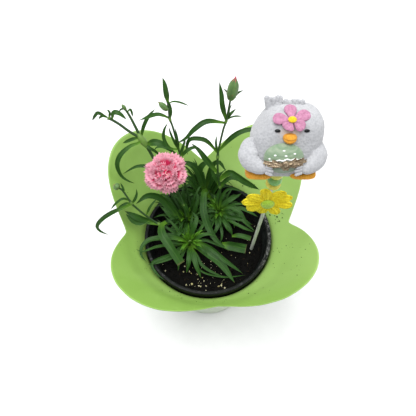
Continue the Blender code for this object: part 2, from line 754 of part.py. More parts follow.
def on_inner_ring(edge, radius):
    """Whether the edge bounds the small hole in the middle of a petal layer."""
    return edge.is_boundary and all(vert.co.xy.length < radius for vert in edge.verts)


def build_flower(collection):
    """The calyx, and three nested layers of petals."""
    step = PETAL_THICKNESS + 1.6 * GAP
    layers = (
        ("petals_outer", 1, 3.5 * MM, 7),
        ("petals_middle", 0.84, 6 * MM, 6),
        ("petals_inner", 0.56, 7 * MM, 5),
    )
    for index, (name, size, rise, lobes) in enumerate(layers):
        petal_layer(name, size * FLOWER_RADIUS, PETALS_DEPTH + index * step, rise, lobes, collection)
    top = PETALS_DEPTH - PETAL_THICKNESS - GAP
    profile = (
        (0, top),
        (4.8 * MM, top),
        (4.2 * MM, top - 7 * MM),
        (2.6 * MM, CALYX_FOOT + 2 * MM),
        (1.1 * MM, CALYX_FOOT),
        (0, CALYX_FOOT),
    )
    look = material("calyx_green", (0.13, 0.25, 0.08), 0.55)
    turned("calyx", profile, 12, collection, look, flower_frame())


def stick_point(height):
    """The point on the stick's axis at this height."""
    return place(*STICK_SOIL_POINT) + STICK_LEAN * (height - STICK_SOIL_POINT[2] * MM)


def stick_solid(name, radius, extra):
    """The stick as a cylinder, longer by this much at each end."""
    axis = STICK_LEAN.normalized()
    bottom = stick_point(STICK_BOTTOM) - axis * extra
    top = stick_point(STICK_TOP) + axis * extra
    bpy.ops.mesh.primitive_cylinder_add(vertices=10, radius=radius, depth=(top - bottom).length)
    made = bpy.context.object
    made.name = name
    made.matrix_world = upright_at((bottom + top) / 2, axis)
    return made


def build_beads(collection, stick_clearance):
    """A felt ring and two round beads threaded on the stick."""
    for name, (low, tall, wide, color) in BEADS.items():
        profile = (
            (0, tall), (0.62 * wide, tall), (0.93 * wide, 0.78 * tall), (wide, 0.5 * tall),
            (0.93 * wide, 0.22 * tall), (0.62 * wide, 0), (0, 0),
        )
        matrix = upright_at(stick_point(low), STICK_LEAN)
        look = material(name + "_look", color, 0.35)
        boolean(turned(name, profile, 14, collection, look, matrix), stick_clearance, "DIFFERENCE")


def petal_outline(petals, radius, inner, steps):
    """A flat flower's outline, as (x, y) points: round petals parted by notches."""
    points = []
    for step in range(petals * steps):
        angle = FULL_TURN * step / (petals * steps)
        wave = abs(math.sin(petals * angle / 2)) ** 0.5
        reach = inner + (radius - inner) * wave
        points.append((reach * math.cos(angle), reach * math.sin(angle)))
    return points


def flat_piece(name, outline, thickness, collection, look, matrix):
    """A flat outline given this thickness, lying about its own middle plane."""
    curve = bpy.data.curves.new(name, "CURVE")
    curve.dimensions = "2D"
    curve.fill_mode = "BOTH"
    curve.extrude = thickness / 2
    spline = curve.splines.new("POLY")
    spline.points.add(len(outline) - 1)
    for point, at in zip(spline.points, outline):
        point.co = (*at, 0, 1)
    spline.use_cyclic_u = True
    made = add_object(name, curve, collection, look)
    made.matrix_world = matrix
    return made


def as_mesh(made):
    """The same shape as a closed mesh, so that it can be cut."""
    bpy.context.view_layer.update()
    graph = bpy.context.evaluated_depsgraph_get()
    mesh = bpy.data.meshes.new_from_object(made.evaluated_get(graph))
    bm = bmesh.new()
    bm.from_mesh(mesh)
    bmesh.ops.remove_doubles(bm, verts=bm.verts, dist=0.005 * MM)
    bm.to_mesh(mesh)
    bm.free()
    name, collection, matrix = made.name, made.users_collection[0], made.matrix_world.copy()
    bpy.data.objects.remove(made)
    solid = bpy.data.objects.new(name, mesh)
    collection.objects.link(solid)
    solid.matrix_world = matrix
    return solid


def build_felt_flower(collection, stick_clearance):
    """A stuffed felt flower threaded on the stick edge on, and the button on its middle."""
    facing = Matrix.Rotation(math.radians(90), 4, "X")
    centre = stick_point(FELT_FLOWER_HEIGHT)
    round_outline = petal_outline(FELT_PETALS, FELT_FLOWER_RADIUS, 0.72 * FELT_FLOWER_RADIUS, 6)
    outline = [(x, FELT_FLOWER_OVAL * y) for x, y in round_outline]
    look = material("felt_yellow", (0.5, 0.47, 0.03), 0.95)
    matrix = Matrix.Translation(centre) @ facing
    flower = as_mesh(flat_piece("felt_flower", outline, FELT_FLOWER_THICKNESS, collection, look, matrix))
    boolean(flower, stick_clearance, "DIFFERENCE")
    size = Vector((5.6, 3.6, 3)) * MM
    profile = ((0, size.z), (0.7 * size.x, 0.8 * size.z), (size.x, 0.3 * size.z), (0.9 * size.x, 0), (0, 0))
    front = centre - Vector((0, FELT_FLOWER_THICKNESS / 2 + GAP, 0))
    look = material("button_green", (0.25, 0.42, 0.03), 0.6)
    turned("felt_flower_button", profile, 14, collection, look, Matrix.Translation(front) @ facing)


def chick_frame():
    """The chick's matrix: +Z up its back and -Y the way that its belly faces."""
    lean = Matrix.Rotation(CHICK_LEAN_BACK, 4, "X")
    return Matrix.Translation(place(*CHICK_PLACE)) @ lean


def ellipsoid(name, radii, centre, collection, look=None, turn=None, detail=(16, 10)):
    """A round soft solid with its place and radii in the chick's own frame."""
    bm = bmesh.new()
    bmesh.ops.create_uvsphere(bm, u_segments=detail[0], v_segments=detail[1], radius=1)
    bmesh.ops.scale(bm, vec=radii, verts=bm.verts)
    made = add_object(name, mesh_from(bm, name, 60), collection, look)
    made.matrix_world = chick_frame() @ Matrix.Translation(centre) @ (turn or Matrix.Identity(4))
    return made


def clearance_of(name, radii, centre, cutters, turn=None, detail=(16, 10)):
    """A cutter that keeps other pieces the usual gap away from an ellipsoid of this size."""
    grown = radii + Vector((1, 1, 1)) * (GAP * 1.1)
    return as_cutter(ellipsoid(name, grown, centre, cutters, None, turn, detail), name, cutters)


def body_surface(x, z, outward=0.0):
    """The point on the front of the chick's body over this (x, z), and the way that it faces."""
    across = x - CHICK_MIDDLE.x
    depth = math.sqrt(max(0, 1 - (across / CHICK_RADII.x) ** 2 - (z / CHICK_RADII.z) ** 2))
    at = Vector((x, -CHICK_RADII.y * depth, z))
    facing = Vector((across / CHICK_RADII.x**2, at.y / CHICK_RADII.y**2, z / CHICK_RADII.z**2)).normalized()
    return at + facing * outward, facing


def mirrored(vector, side):
    """The vector on the left (-1) or the right (1) side of the chick's belly."""
    return Vector((BELLY_OFFSET + side * vector.x, vector.y, vector.z))


def build_chick(collection, cutters, stick_clearance):
    """The plush body and what is sewn on it, each piece trimmed to stand a gap off the next."""
    plush = material("plush_white", (0.62, 0.63, 0.66), 0.95)
    orange = material("felt_orange", (0.75, 0.35, 0.04), 0.9)
    body = ellipsoid("chick_body", CHICK_RADII, CHICK_MIDDLE, collection, plush)
    boolean(body, stick_clearance, "DIFFERENCE")
    body_clearance = clearance_of("chick_body_clearance", CHICK_RADII, CHICK_MIDDLE, cutters)

    tilt = Matrix.Rotation(EGG_TILT, 4, "X")
    green = material("egg_green", (0.35, 0.45, 0.31))
    egg = ellipsoid("egg", EGG_RADII, EGG_CENTRE, collection, green, tilt)
    boolean(egg, body_clearance, "DIFFERENCE")
    egg_clearance = clearance_of("egg_clearance", EGG_RADII, EGG_CENTRE, cutters, tilt)

    for side, side_name in ((-1, "left"), (1, "right")):
        build_wing_and_foot(side, side_name, collection, cutters, (body_clearance, egg_clearance))
        build_eye_and_crest(side, side_name, collection, body_clearance)

    at, _ = body_surface(*BEAK_PLACE, BEAK_OUTWARD)
    beak = ellipsoid("beak", BEAK_RADII, at, collection, orange, None, (12, 8))
    boolean(beak, body_clearance, "DIFFERENCE")
    boolean(beak, egg_clearance, "DIFFERENCE")
    build_head_flower(collection, body_clearance)
    build_bow(collection, cutters, egg_clearance)


def build_wing_and_foot(side, side_name, collection, cutters, clearances):
    """A wing that wraps round to the egg, and the flat foot under it."""
    plush = material("plush_white", (0.62, 0.63, 0.66), 0.95)
    orange = material("felt_orange", (0.75, 0.35, 0.04), 0.9)
    detail = (14, 8)
    centre = mirrored(WING_CENTRE, side)
    turn = Matrix.Rotation(side * WING_WRAP, 4, "Z") @ Matrix.Rotation(side * WING_DROOP, 4, "Y")
    wing = ellipsoid(f"wing_{side_name}", WING_RADII, centre, collection, plush, turn, detail)
    for clearance in clearances:
        boolean(wing, clearance, "DIFFERENCE")
    wing_clearance = clearance_of(f"wing_{side_name}_clearance", WING_RADII, centre, cutters, turn, detail)
    foot_centre = mirrored(FOOT_CENTRE, side)
    foot = ellipsoid(f"foot_{side_name}", FOOT_RADII, foot_centre, collection, orange, None, detail)
    boolean(foot, clearances[0], "DIFFERENCE")
    boolean(foot, wing_clearance, "DIFFERENCE")


def build_eye_and_crest(side, side_name, collection, body_clearance):
    """A flat black eye, and a tuft that stands up behind the head flower."""
    black = material("eye_black", (0.01, 0.01, 0.012), 0.25)
    plush = material("plush_white", (0.62, 0.63, 0.66), 0.95)
    at, facing = body_surface(EYE_OFFSET + side * EYE_PLACE[0], EYE_PLACE[1], EYE_OUTWARD)
    turn = facing.to_track_quat("-Y", "Z").to_matrix().to_4x4()
    eye = ellipsoid(f"eye_{side_name}", EYE_RADII, at, collection, black, turn, (10, 6))
    boolean(eye, body_clearance, "DIFFERENCE")
    centre = CREST_MIDDLE + CREST_SPREAD * side
    splay = Matrix.Rotation(side * CREST_SPLAY, 4, "Y")
    crest = ellipsoid(f"crest_{side_name}", CREST_RADII, centre, collection, plush, splay, (10, 6))
    boolean(crest, body_clearance, "DIFFERENCE")


def build_head_flower(collection, body_clearance):
    """A pink felt flower on the chick's forehead, with a round middle."""
    at, facing = body_surface(*HEAD_FLOWER_PLACE, HEAD_FLOWER_OUTWARD)
    turn = facing.to_track_quat("Z", "X").to_matrix().to_4x4()
    matrix = chick_frame() @ Matrix.Translation(at) @ turn
    outline = petal_outline(HEAD_FLOWER_PETALS, HEAD_FLOWER_RADIUS, 0.42 * HEAD_FLOWER_RADIUS, 8)
    look = material("felt_pink", (0.82, 0.42, 0.62), 0.95)
    flower = as_mesh(flat_piece("head_flower", outline, HEAD_FLOWER_THICKNESS, collection, look, matrix))
    boolean(flower, body_clearance, "DIFFERENCE")
    profile = [
        (radius * MM, height * MM)
        for radius, height in ((0, 1.8), (1.8, 1.5), (2.7, 0.6), (2.5, 0), (0, 0))
    ]
    look = material("felt_flower_middle", (0.75, 0.52, 0.05), 0.7)
    seat = matrix @ Matrix.Translation((0, 0, HEAD_FLOWER_THICKNESS / 2 + GAP))
    turned("head_flower_middle", profile, 10, collection, look, seat)


def build_bow(collection, cutters, egg_clearance):
    """A glittery ribbon bow across the egg: two loops and a knot joined as one solid."""
    look = material("bow_gold", (0.3, 0.21, 0.11), 0.4, 0.5)
    knot = ellipsoid("bow", BOW_KNOT_RADII, BOW_CENTRE, collection, look, None, (10, 6))
    loops = bpy.data.collections.new("bow_loops")
    cutters.children.link(loops)
    for side, side_name in ((-1, "left"), (1, "right")):
        name = f"bow_loop_{side_name}"
        centre = BOW_CENTRE + BOW_LOOP_OFFSET * side + Vector((0, BOW_KNOT_RADII.y - 1 * MM, 0))
        turn = Matrix.Rotation(side * BOW_LOOP_TILT, 4, "Y")
        as_cutter(ellipsoid(name, BOW_LOOP_RADII, centre, loops, None, turn, (12, 6)), name, loops)
    boolean(knot, loops, "UNION")
    boolean(knot, egg_clearance, "DIFFERENCE")


def main():
    for old in list(bpy.data.objects):
        bpy.data.objects.remove(old)
    scene = bpy.context.scene.collection
    parts = bpy.data.collections.new("potted_dianthus")
    cutters = bpy.data.collections.new("cutters")
    scene.children.link(parts)
    scene.children.link(cutters)

    stick = stick_solid("stick", STICK_RADIUS, 0)
    for linked in list(stick.users_collection):
        linked.objects.unlink(stick)
    parts.objects.link(stick)
    stick.data.materials.append(material("stick_white", (0.55, 0.56, 0.5), 0.6))
    clearance = stick_solid("stick_clearance", STICK_RADIUS + GAP * 1.2, GAP * 1.2)
    stick_clearance = as_cutter(clearance, "stick_clearance", cutters)

    build_sleeve(parts)
    build_pot(parts, cutters)
    build_soil(parts, stick_clearance)
    clearances = {name: stem_clearance(name, cutters) for name in STEMS_FROM_SOIL}
    for name in ROSETTES:
        build_rosette(name, parts, cutters, clearances)
    for name in STEM_ROUTES:
        build_stem(name, parts)
    for name in LEAVES:
        build_leaf(name, parts)
    for name in BUDS:
        build_bud(name, parts)
    build_flower(parts)
    build_felt_flower(parts, stick_clearance)
    build_beads(parts, stick_clearance)
    build_chick(parts, cutters, stick_clearance)


main()
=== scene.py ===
"""The looks of a potted dianthus in its sleeve, with a plush chick on a stick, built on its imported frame.

Metres, +Z up, +X to the viewer's right and -Y towards the viewer. Lengths are written in millimetres and
multiplied by MM. Places on the plant are read off the reference photograph as (column, row, height): the
pixel of its 416 by 416 frame where a point shows, and how high that point is above the floor in mm.
"""

import math
import random
from collections import namedtuple

import bmesh
import bpy
from mathutils import Matrix, Vector, noise


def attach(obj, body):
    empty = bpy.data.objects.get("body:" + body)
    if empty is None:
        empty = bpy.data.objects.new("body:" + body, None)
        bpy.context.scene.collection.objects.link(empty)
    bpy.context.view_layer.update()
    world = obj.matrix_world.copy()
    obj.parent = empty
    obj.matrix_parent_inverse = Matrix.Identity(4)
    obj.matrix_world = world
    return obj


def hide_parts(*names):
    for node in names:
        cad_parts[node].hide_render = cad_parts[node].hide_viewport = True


MM = 0.001
FULL_TURN = 2 * math.pi
QUARTER_TURN = math.pi / 2
Z_AXIS = Vector((0, 0, 1))

# Shapes: the angle over which an edge is sharp, and the ways that round tubes and limbs face.
SHARP_ANGLE = math.radians(55)
TUBE_FACE = Vector((0.31, -0.8, 0.51))
LIMB_FACE = Vector((0, -1, 0.35))

# The photograph's view: how steeply it looks down, from how far, at what, and how wide.
VIEW_PITCH = math.radians(60)
VIEW_DISTANCE = 500 * MM
VIEW_AIM = Vector((0, 29, 105)) * MM
VIEW_FRAME_PIXELS = 416
VIEW_FOCAL_PIXELS = 512
VIEW_CENTRE_PIXEL = VIEW_FRAME_PIXELS / 2
VIEW_FORWARD = Vector((0, math.cos(VIEW_PITCH), -math.sin(VIEW_PITCH)))
VIEW_RIGHT = Vector((1, 0, 0))
VIEW_UP = VIEW_RIGHT.cross(VIEW_FORWARD)
VIEW_EYE = VIEW_AIM - VIEW_FORWARD * VIEW_DISTANCE
SENSOR_WIDTH = 36

# Soft lights: name, place in metres, size in metres and power. The world lights the scene evenly too.
LIGHTS = (
    ("key", (-0.25, -0.15, 1.4), 1.1, 22),
    ("fill", (0.85, 0.1, 1.0), 0.9, 7),
    ("back", (-0.3, 0.9, 1.2), 0.9, 7),
)
LIGHTS_AIM = Vector((0, 0, 0.1))
WORLD_COLOR = (0.95, 0.97, 1, 1)
WORLD_STRENGTH = 0.42
FLOOR_HALF_WIDTH = 4

# Sleeve. Its flare starts at the throat and bends outward, and its cut edge runs in four lobes.
SLEEVE_THICKNESS = 0.6 * MM
SLEEVE_BASE_RADIUS = 43 * MM
SLEEVE_THROAT_RADIUS = 62 * MM
SLEEVE_THROAT_HEIGHT = 97 * MM
SLEEVE_FLARE_START = math.radians(35.6)
SLEEVE_FLARE_END = math.radians(45.6)
SLEEVE_FLARE_LENGTH = 114 * MM
SLEEVE_SHIFT = Vector((2.1, 4.1, 0)) * MM
SLEEVE_SHIFT_REACH = 39 * MM
SLEEVE_TURN = math.radians(4.74)
SLEEVE_LOBE_SHARPNESS = 1.31
SLEEVE_LOBES = (76.1 * MM, 76.1 * MM, 68.9 * MM, 70.1 * MM)
SLEEVE_NOTCHES = (21.5 * MM, 23.9 * MM, 25.2 * MM, 29.1 * MM)
SLEEVE_SIDES = 256
SLEEVE_BASE_RINGS = (0.25, 0.5, 0.75, 0.97)
SLEEVE_WALL_RINGS = 16
SLEEVE_FLARE_RINGS = 34
SLEEVE_WAVE = 1.1 * MM
SLEEVE_PLEAT = 0.7 * MM
SLEEVE_PLEATS = 17
SLEEVE_HUG = 1.4 * MM
SLEEVE_HUG_REACH = 24 * MM

# Pot and soil.
POT_FLOOR = 0.9 * MM
POT_TOP = 105 * MM
POT_RIM_RADIUS = 60 * MM
POT_RIM_HEIGHT = 8 * MM
POT_RIM_WIDTH = 3.6 * MM
POT_RIM_ROUNDING = 1.2 * MM
POT_RIM_STEPS = 5
POT_WALL = 1.5 * MM
POT_WALL_STEPS = 9
POT_NECK_RADIUS = 55.5 * MM
POT_FOOT_RADIUS = 39 * MM
POT_FOOT_WIDTH = 5 * MM
POT_BOTTOM_LIFT = 2 * MM
POT_INSIDE_FLOOR = POT_FLOOR + POT_BOTTOM_LIFT + POT_WALL
POT_SIDES = 144
DRAIN_HOLE_COUNT = 6
DRAIN_HOLE_RADIUS = 4 * MM
DRAIN_HOLE_RING = 25 * MM
DRAIN_HOLE_SIDES = 24
SOIL_TOP = 90 * MM
SOIL_RELIEF = 1.6 * MM
SOIL_CLEARANCE = 0.4 * MM
SOIL_SIDES = 150
SOIL_RINGS = 44
SOIL_SLIVERS = 110

# Crumbs on the soil and grains of perlite: what share is small, how large in mm the small and the large ones
# are, and how far each is lifted as a part of its size.
SOIL_CRUMBS = 3000
SOIL_CRUMB_FORM = (0.8, (0.35, 0.75), (0.8, 1.5), 0.3)
PERLITE_FORM = (0.7, (0.3, 0.65), (0.7, 1.3), 0.5)

# Perlite lies in a heap round this place, with a few grains over the rest of the soil.
PERLITE_TRIES = 520
PERLITE_HEAP = Vector((-8, -42)) * MM
PERLITE_HEAP_RADIUS = 22 * MM
PERLITE_STRAYS = 0.06

# Soil spilt on the sleeve: between two directions in degrees, between two distances along the flare in mm,
# how many crumbs, and the size of the largest in mm.
SPILLS = (
    (8, 30, 3, 19, 26, 0.95),
    (-62, -12, 4, 52, 34, 0.55),
    (-120, -75, 3, 18, 16, 0.5),
    (185, 250, 4, 40, 16, 0.5),
    (40, 175, 5, 40, 10, 0.5),
    (48, 75, 2, 14, 14, 0.7),
)
SPILL_SMALLEST = 0.22
SPILL_EDGE_GAP = 4 * MM

# Plant.
STEM_RADIUS = 1.2 * MM
STEM_TAPER = 0.3
STEM_SWELL = 1.7
STEM_SWELL_REACH = 4 * MM
STEM_ROOT_DEPTH = 7 * MM
STEM_STEPS = 7
YOUNG_LEAF_TURN = 2.4
BLADE_THICKNESS = 0.45 * MM
BLADE_STEPS = 20
BLADE_COLUMNS = (-1, -0.68, -0.32, 0, 0.32, 0.68, 1)
BUD_SIDES = 40
BUD_STEPS = 26
BUD_RIBS = 5
BUD_SCALES = 4
FLOWER_PLACE = (165.4, 172.2, 175)
FLOWER_TILT = math.radians(30)
CALYX_TOP = -7.5 * MM
CALYX_FOOT = -25 * MM
CALYX_STEPS = 24
CALYX_TEETH = 5
PETAL_THICKNESS = 0.22 * MM
PETAL_TEETH = 11
PETAL_ROWS = 14
STYLE_STEPS = 30
STYLE_RADIUS = 0.28 * MM
STYLES_MIDDLE = Vector((2.2, -1.2, 0)) * MM

# Routes of the short leaves round a bud and round the open flower's calyx, each point with its distance from
# the axis and its height: for a bud as parts of its half width and its length, and for the calyx in mm.
BUD_SCALE_ROUTE = ((0.62, 0.08), (0.98, 0.2), (1.02, 0.34))
CALYX_TOOTH_ROUTE = ((4.4, 12.25), (5.0, 17.5), (5.6, 19.1))
CALYX_SCALE_ROUTE = ((0, -0.6), (2.6, 1.8), (4.5, 5), (5.1, 8))

# The petals' layers in each piece: how many, their inner and outer radius, half their spread in degrees,
# their height at the claw and at the edge, how far the edge curls back and how deep it is ruffled, in mm.
PetalLayer = namedtuple("PetalLayer", "count inner outer spread low high curl ruffle")
PETAL_LAYERS = {
    "petals_outer": (
        PetalLayer(6, 3.0, 18.9, 37, -5.2, -1.6, 2.0, 1.0),
        PetalLayer(6, 3.0, 17.2, 37, -4.0, 1.0, 1.4, 1.2),
    ),
    "petals_middle": (
        PetalLayer(6, 2.4, 14.2, 38, -2.4, 2.4, 0.8, 1.3),
        PetalLayer(5, 1.8, 11.4, 42, -1.2, 3.4, 0.4, 1.3),
    ),
    "petals_inner": (
        PetalLayer(5, 0.6, 8.2, 46, 1.0, 4.2, 0.0, 1.3),
        PetalLayer(5, -1.6, 5.0, 60, 2.6, 4.6, -0.2, 1.2),
    ),
}

# Pick. The beads are name, foot height, length, radius, colours, roughness and slot, with lengths in mm.
STICK_RADIUS = 1.5 * MM
STICK_SOIL_POINT = (251.4, 248.3, 90)
STICK_LEAN = Vector((0.072, 0, 1))
STICK_BOTTOM = 42 * MM
STICK_TOP = 234 * MM
STICK_BEVEL = 0.25 * MM
STICK_SIDES = 20
STICK_STEPS = 24
FELT_FLOWER_HEIGHT = 179.7 * MM
FELT_FLOWER_RADIUS = 22 * MM
FELT_FLOWER_THICKNESS = 5.6 * MM
FELT_FLOWER_OVAL = 0.88
FELT_PETALS = 9
FELT_PETAL_WIDTH = 9.6 * MM
FELT_PETAL_NOTCH = 3 * MM
FELT_PETAL_GROOVES = 3
PUFFY_PETAL_START = 1 * MM
PUFFY_PETAL_ROWS = 24
PUFFY_PETAL_SIDES = 40
BUTTON_RADIUS = 5.6 * MM
BUTTON_HEIGHT = 3 * MM
BUTTON_EDGE = 0.4 * MM
BUTTON_STEPS = 12
BEAD_PLAY = 0.3 * MM
BEAD_STEPS = 24
BEAD_SIDES = 40
BEADS = (
    ("ring_bead", 203.4, 4.2, 5.9, (0.72, 0.66, 0.12), (0.6, 0.5, 0.06), 0.5, "bead_yellow"),
    ("green_bead", 208, 7, 5.6, (0.24, 0.5, 0.17), (0.17, 0.4, 0.12), 0.34, "bead_green"),
    ("yellow_bead", 215.4, 8, 5.2, (0.68, 0.68, 0.14), (0.55, 0.55, 0.08), 0.34, "bead_yellow"),
)

# The chick, in mm and its own frame, with +Z up its back and -Y the way that its belly faces. Its body leans
# to the viewer's right as it rises, so the middle of its belly is BELLY_OFFSET from the frame's middle.
CHICK_PLACE = (287.4, 139, 250)
CHICK_LEAN_BACK = math.radians(-30)
BODY_RADII = (24.6, 20, 24.8)
BODY_POWER = 3.3
BODY_OFFSET = -1.5
BODY_SWAY = 0.1
BODY_SHOULDER = 0.17
BELLY_OFFSET = -4.7
CREAM_PLACE = (-0.5, 12.6)
CREAM_RADII = (9, 4.2)
WING_ROUTE = ((18.4, -4.6, 1.8), (22.6, -11, -2.4), (22.4, -17, -8.4), (17, -21, -11.6), (10.6, -23.2, -12.4))
WING_RADII = (4.6, 7.4, 7.4, 5.6, 3.6)
FINGER_START = (12.5, -23.6, -12)
FINGER_TIP = (6.9, -25.2, -13.4)
FINGER_SPREAD = 2.1
FEET_MIDDLE = -5.1
FOOT_PLACE = (15.4, -11.5, -20.6)
FOOT_RADII = (9.3, 7.8, 2.9)
EYES_MIDDLE = -0.3
EYE_PLACE = (9.7, 13.5)
EYE_RADII = (1.95, 1.1, 0.8)
BEAK_PLACE = (-1.7, 8.5)
BEAK_RADII = (4.7, 3.6, 4.4)

# The two crests: where each is rooted, how high it rises, and where the tips of its tufts are, from the side.
CRESTS = {
    "left": (-10.6, 30.6, (-16.4, -13.6, -11, -8.2, -6)),
    "right": (3.6, 28, (-3.6, -0.6, 2.6, 6, 9.4)),
}
CREST_ROOT_HEIGHT = 19.5
CREST_DEPTH = 3.6

# The flower on the chick's head: each petal's direction and bend in degrees, with its length between them.
HEAD_FLOWER_PLACE = (-0.9, 19.4)
HEAD_FLOWER_TILT = math.radians(-12)
HEAD_PETAL_WIDTH = 8.4 * MM
HEAD_PETAL_THICKNESS = 2.6 * MM
HEAD_PETALS = ((93, 13.4, 12), (29, 14.4, 10), (-31, 9.6, 8), (238, 7.6, 4), (168, 12.8, 6))

# The egg that the chick holds, where its dots are from its middle, and the pleats of its bow: direction in
# degrees, reach, width and bulge.
EGG_MIDDLE = (-4.7, -19.5, -5.8)
EGG_RADII = (13.7, 6.2, 11.2)
EGG_DOTS = ((-0.8, 7.2), (-6.4, 4.0), (0.6, 3.9), (6.4, 5.0), (-9.9, 1.2))
EGG_LINE_HALF_LENGTH = 13.3
EGG_LINE_STEPS = 60
BOW_MIDDLE = Vector((-4.2, -26.2, -6.8))
BOW_PLEATS = (
    (181, 14.4, 2.4, 0.8), (188, 13.4, 2.4, 1.4), (196, 10.4, 2.4, 1.2), (172, 9.0, 2.2, 1.9),
    (12, 12.8, 2.2, 1.1), (4, 14.4, 2.2, 1.6), (-6, 12.2, 2.4, 1.2), (-17, 10.0, 2.4, 1.0),
    (24, 7.6, 2.4, 2.0), (-84, 5.4, 3.8, 0.8), (-106, 4.8, 3.2, 0.8), (-62, 4.6, 3.0, 0.8),
)

# Stem routes from the ground up, each point (column, row, height in mm), with the rows of the points
# where a pair of leaves grows and the stem swells, and how much thicker than the others a stem is.
STEM_ROUTES = {
    "stem_a": (
        (181, 213, 98), (175, 201, 112), (164.6, 181, 130), (154.4, 160, 148),
        (147.4, 147.5, 159), (141, 139, 167), (128.3, 130.8, 175), (118.7, 123.8, 181),
        (108, 117.6, 186.5),
    ),
    "stem_b": (
        (191.7, 211.3, 98), (189, 199, 110), (185, 184, 129), (181.5, 167, 148), (180.2, 156, 160),
        (177.1, 143.2, 173), (172.9, 127.4, 189), (169.8, 118.9, 197), (168.6, 109.2, 206),
        (167.6, 102, 213),
    ),
    "stem_c": (
        (218, 209.5, 96), (219.9, 197, 110.5), (219.9, 186.6, 122.5), (218, 174, 137),
        (217.7, 156.5, 156), (219.5, 145.6, 167), (223.2, 129.8, 183), (226.2, 120.8, 192),
        (229.2, 106.2, 207), (230.4, 99.5, 213),
    ),
    "stem_d": (
        (183.5, 238.5, 98), (172, 231, 108), (158.4, 224, 116), (146, 215.7, 126), (135.9, 207.5, 134),
        (131.3, 203, 139), (122.7, 190.7, 149), (119, 188.2, 151.5),
    ),
    "stem_flower": (
        (186.6, 220, 98), (183.5, 205, 114), (175, 185.4, 135), (169, 176, 146),
    ),
    "stem_a_side": ((139, 134, 171), (130.8, 118, 184), (125.7, 109.8, 192)),
}
STEM_NODE_ROWS = {
    "stem_a": (139, 117.6), "stem_b": (156, 118.9), "stem_c": (186.6, 156.5, 120.8),
    "stem_d": (224, 203), "stem_flower": (205,), "stem_a_side": (),
}
STEM_STOUTNESS = {"stem_a": 1.4, "stem_a_side": 1.15}

# The thick pale sheath at the node where stem_a forks.
THICK_NODE = ((147.6, 147.4, 159), (143.4, 141.6, 164.5), (140.2, 137.2, 168.5), (137.6, 131.8, 172.5))
THICK_NODE_RADIUS = 3.2 * MM
THICK_NODE_STEPS = 14

# Buds: where each is seated, its tip, and its width in mm.
BUDS = {
    "bud_a": ((125.7, 109.8, 192), (121.5, 104, 198), 3.4),
    "bud_b": ((167.2, 109.9, 206.5), (157.9, 101.5, 215), 5.2),
    "bud_c": ((230.6, 98.9, 213.6), (236, 75.8, 236), 9.2),
    "bud_d": ((118.6, 187.9, 151.9), (113.5, 184.5, 156), 6.6),
}

# Long leaves that stand for the frame's: width in mm, then the route from the stem to the tip.
LEAVES = {
    "leaf_a_tip_left": (
        3.2, (107.2, 117.2, 186.3), (98.9, 113, 191), (95.7, 114.9, 189), (92.2, 120.6, 182),
    ),
    "leaf_a_tip_right": (
        4.6, (112, 119.4, 184.5), (114, 113, 192), (119.5, 113.8, 192), (126.4, 119.3, 186),
    ),
    "leaf_a_up": (3.6, (141, 138.5, 167), (144, 125.7, 178.5), (149.3, 115.5, 186), (155.6, 108.6, 190)),
    "leaf_a_curl": (
        4.4, (142, 140.5, 166), (137.2, 143.8, 168), (130.8, 145.9, 168), (120.6, 154.7, 163),
        (117, 164.9, 155), (120.6, 175.1, 145), (126.7, 180.2, 139), (134.4, 183.3, 134),
    ),
    "leaf_a_right": (6.4, (145.5, 145, 161), (154, 142.5, 165.5), (162.1, 144.2, 165), (168.5, 148.1, 160)),
    "leaf_flower_left": (3.4, (175, 185.4, 135), (154, 169, 149), (138, 166.2, 149), (122.7, 174, 140)),
    "leaf_b_tip": (4.6, (167.8, 103, 212), (166.1, 92, 223), (164.6, 84, 229), (162.5, 77.4, 233)),
    "leaf_b_left": (
        3.8, (169.6, 118.6, 197), (163, 115.6, 202), (157.6, 114.6, 202), (150.6, 116.1, 199),
        (138.5, 120.6, 191),
    ),
    "leaf_c_up": (4.6, (226, 120.6, 192), (222.6, 106, 206), (221.6, 95, 213), (219.4, 82, 221.5)),
    "leaf_c_arch": (
        4.8, (225.5, 123, 189), (207.4, 121.4, 197), (195, 129, 193), (186, 138.3, 184), (177, 143.2, 177),
    ),
    "leaf_c_behind": (
        4.6, (218.5, 151, 162), (231, 138, 178), (243, 131, 185), (256, 129.5, 186), (268, 134, 181),
    ),
    "leaf_c_left": (
        4.2, (218.2, 153, 159), (207.4, 141.4, 171), (198, 138.6, 172), (190, 139.5, 169), (187, 146, 161),
        (187.4, 154.7, 152),
    ),
    "leaf_c_low": (5.6, (218, 173, 138), (206.8, 160.8, 152), (198.9, 150.5, 163), (191.5, 143.5, 165)),
    "leaf_c_right": (
        6.4, (219, 180, 130), (229, 172.5, 143), (236.5, 175.8, 142), (244.8, 181.6, 137),
        (259.5, 189.8, 122),
    ),
    "leaf_d_arch": (
        4.2, (132, 204, 138), (120.6, 208.6, 141), (110.4, 213.2, 137), (101.7, 219.3, 130),
        (97.1, 225.9, 123), (100.2, 231, 117), (108.4, 234.8, 111),
    ),
    "leaf_d_upper": (2.6, (130, 201, 140), (123.2, 198.9, 146.5), (116.5, 203, 144), (110.4, 209.6, 138)),
}

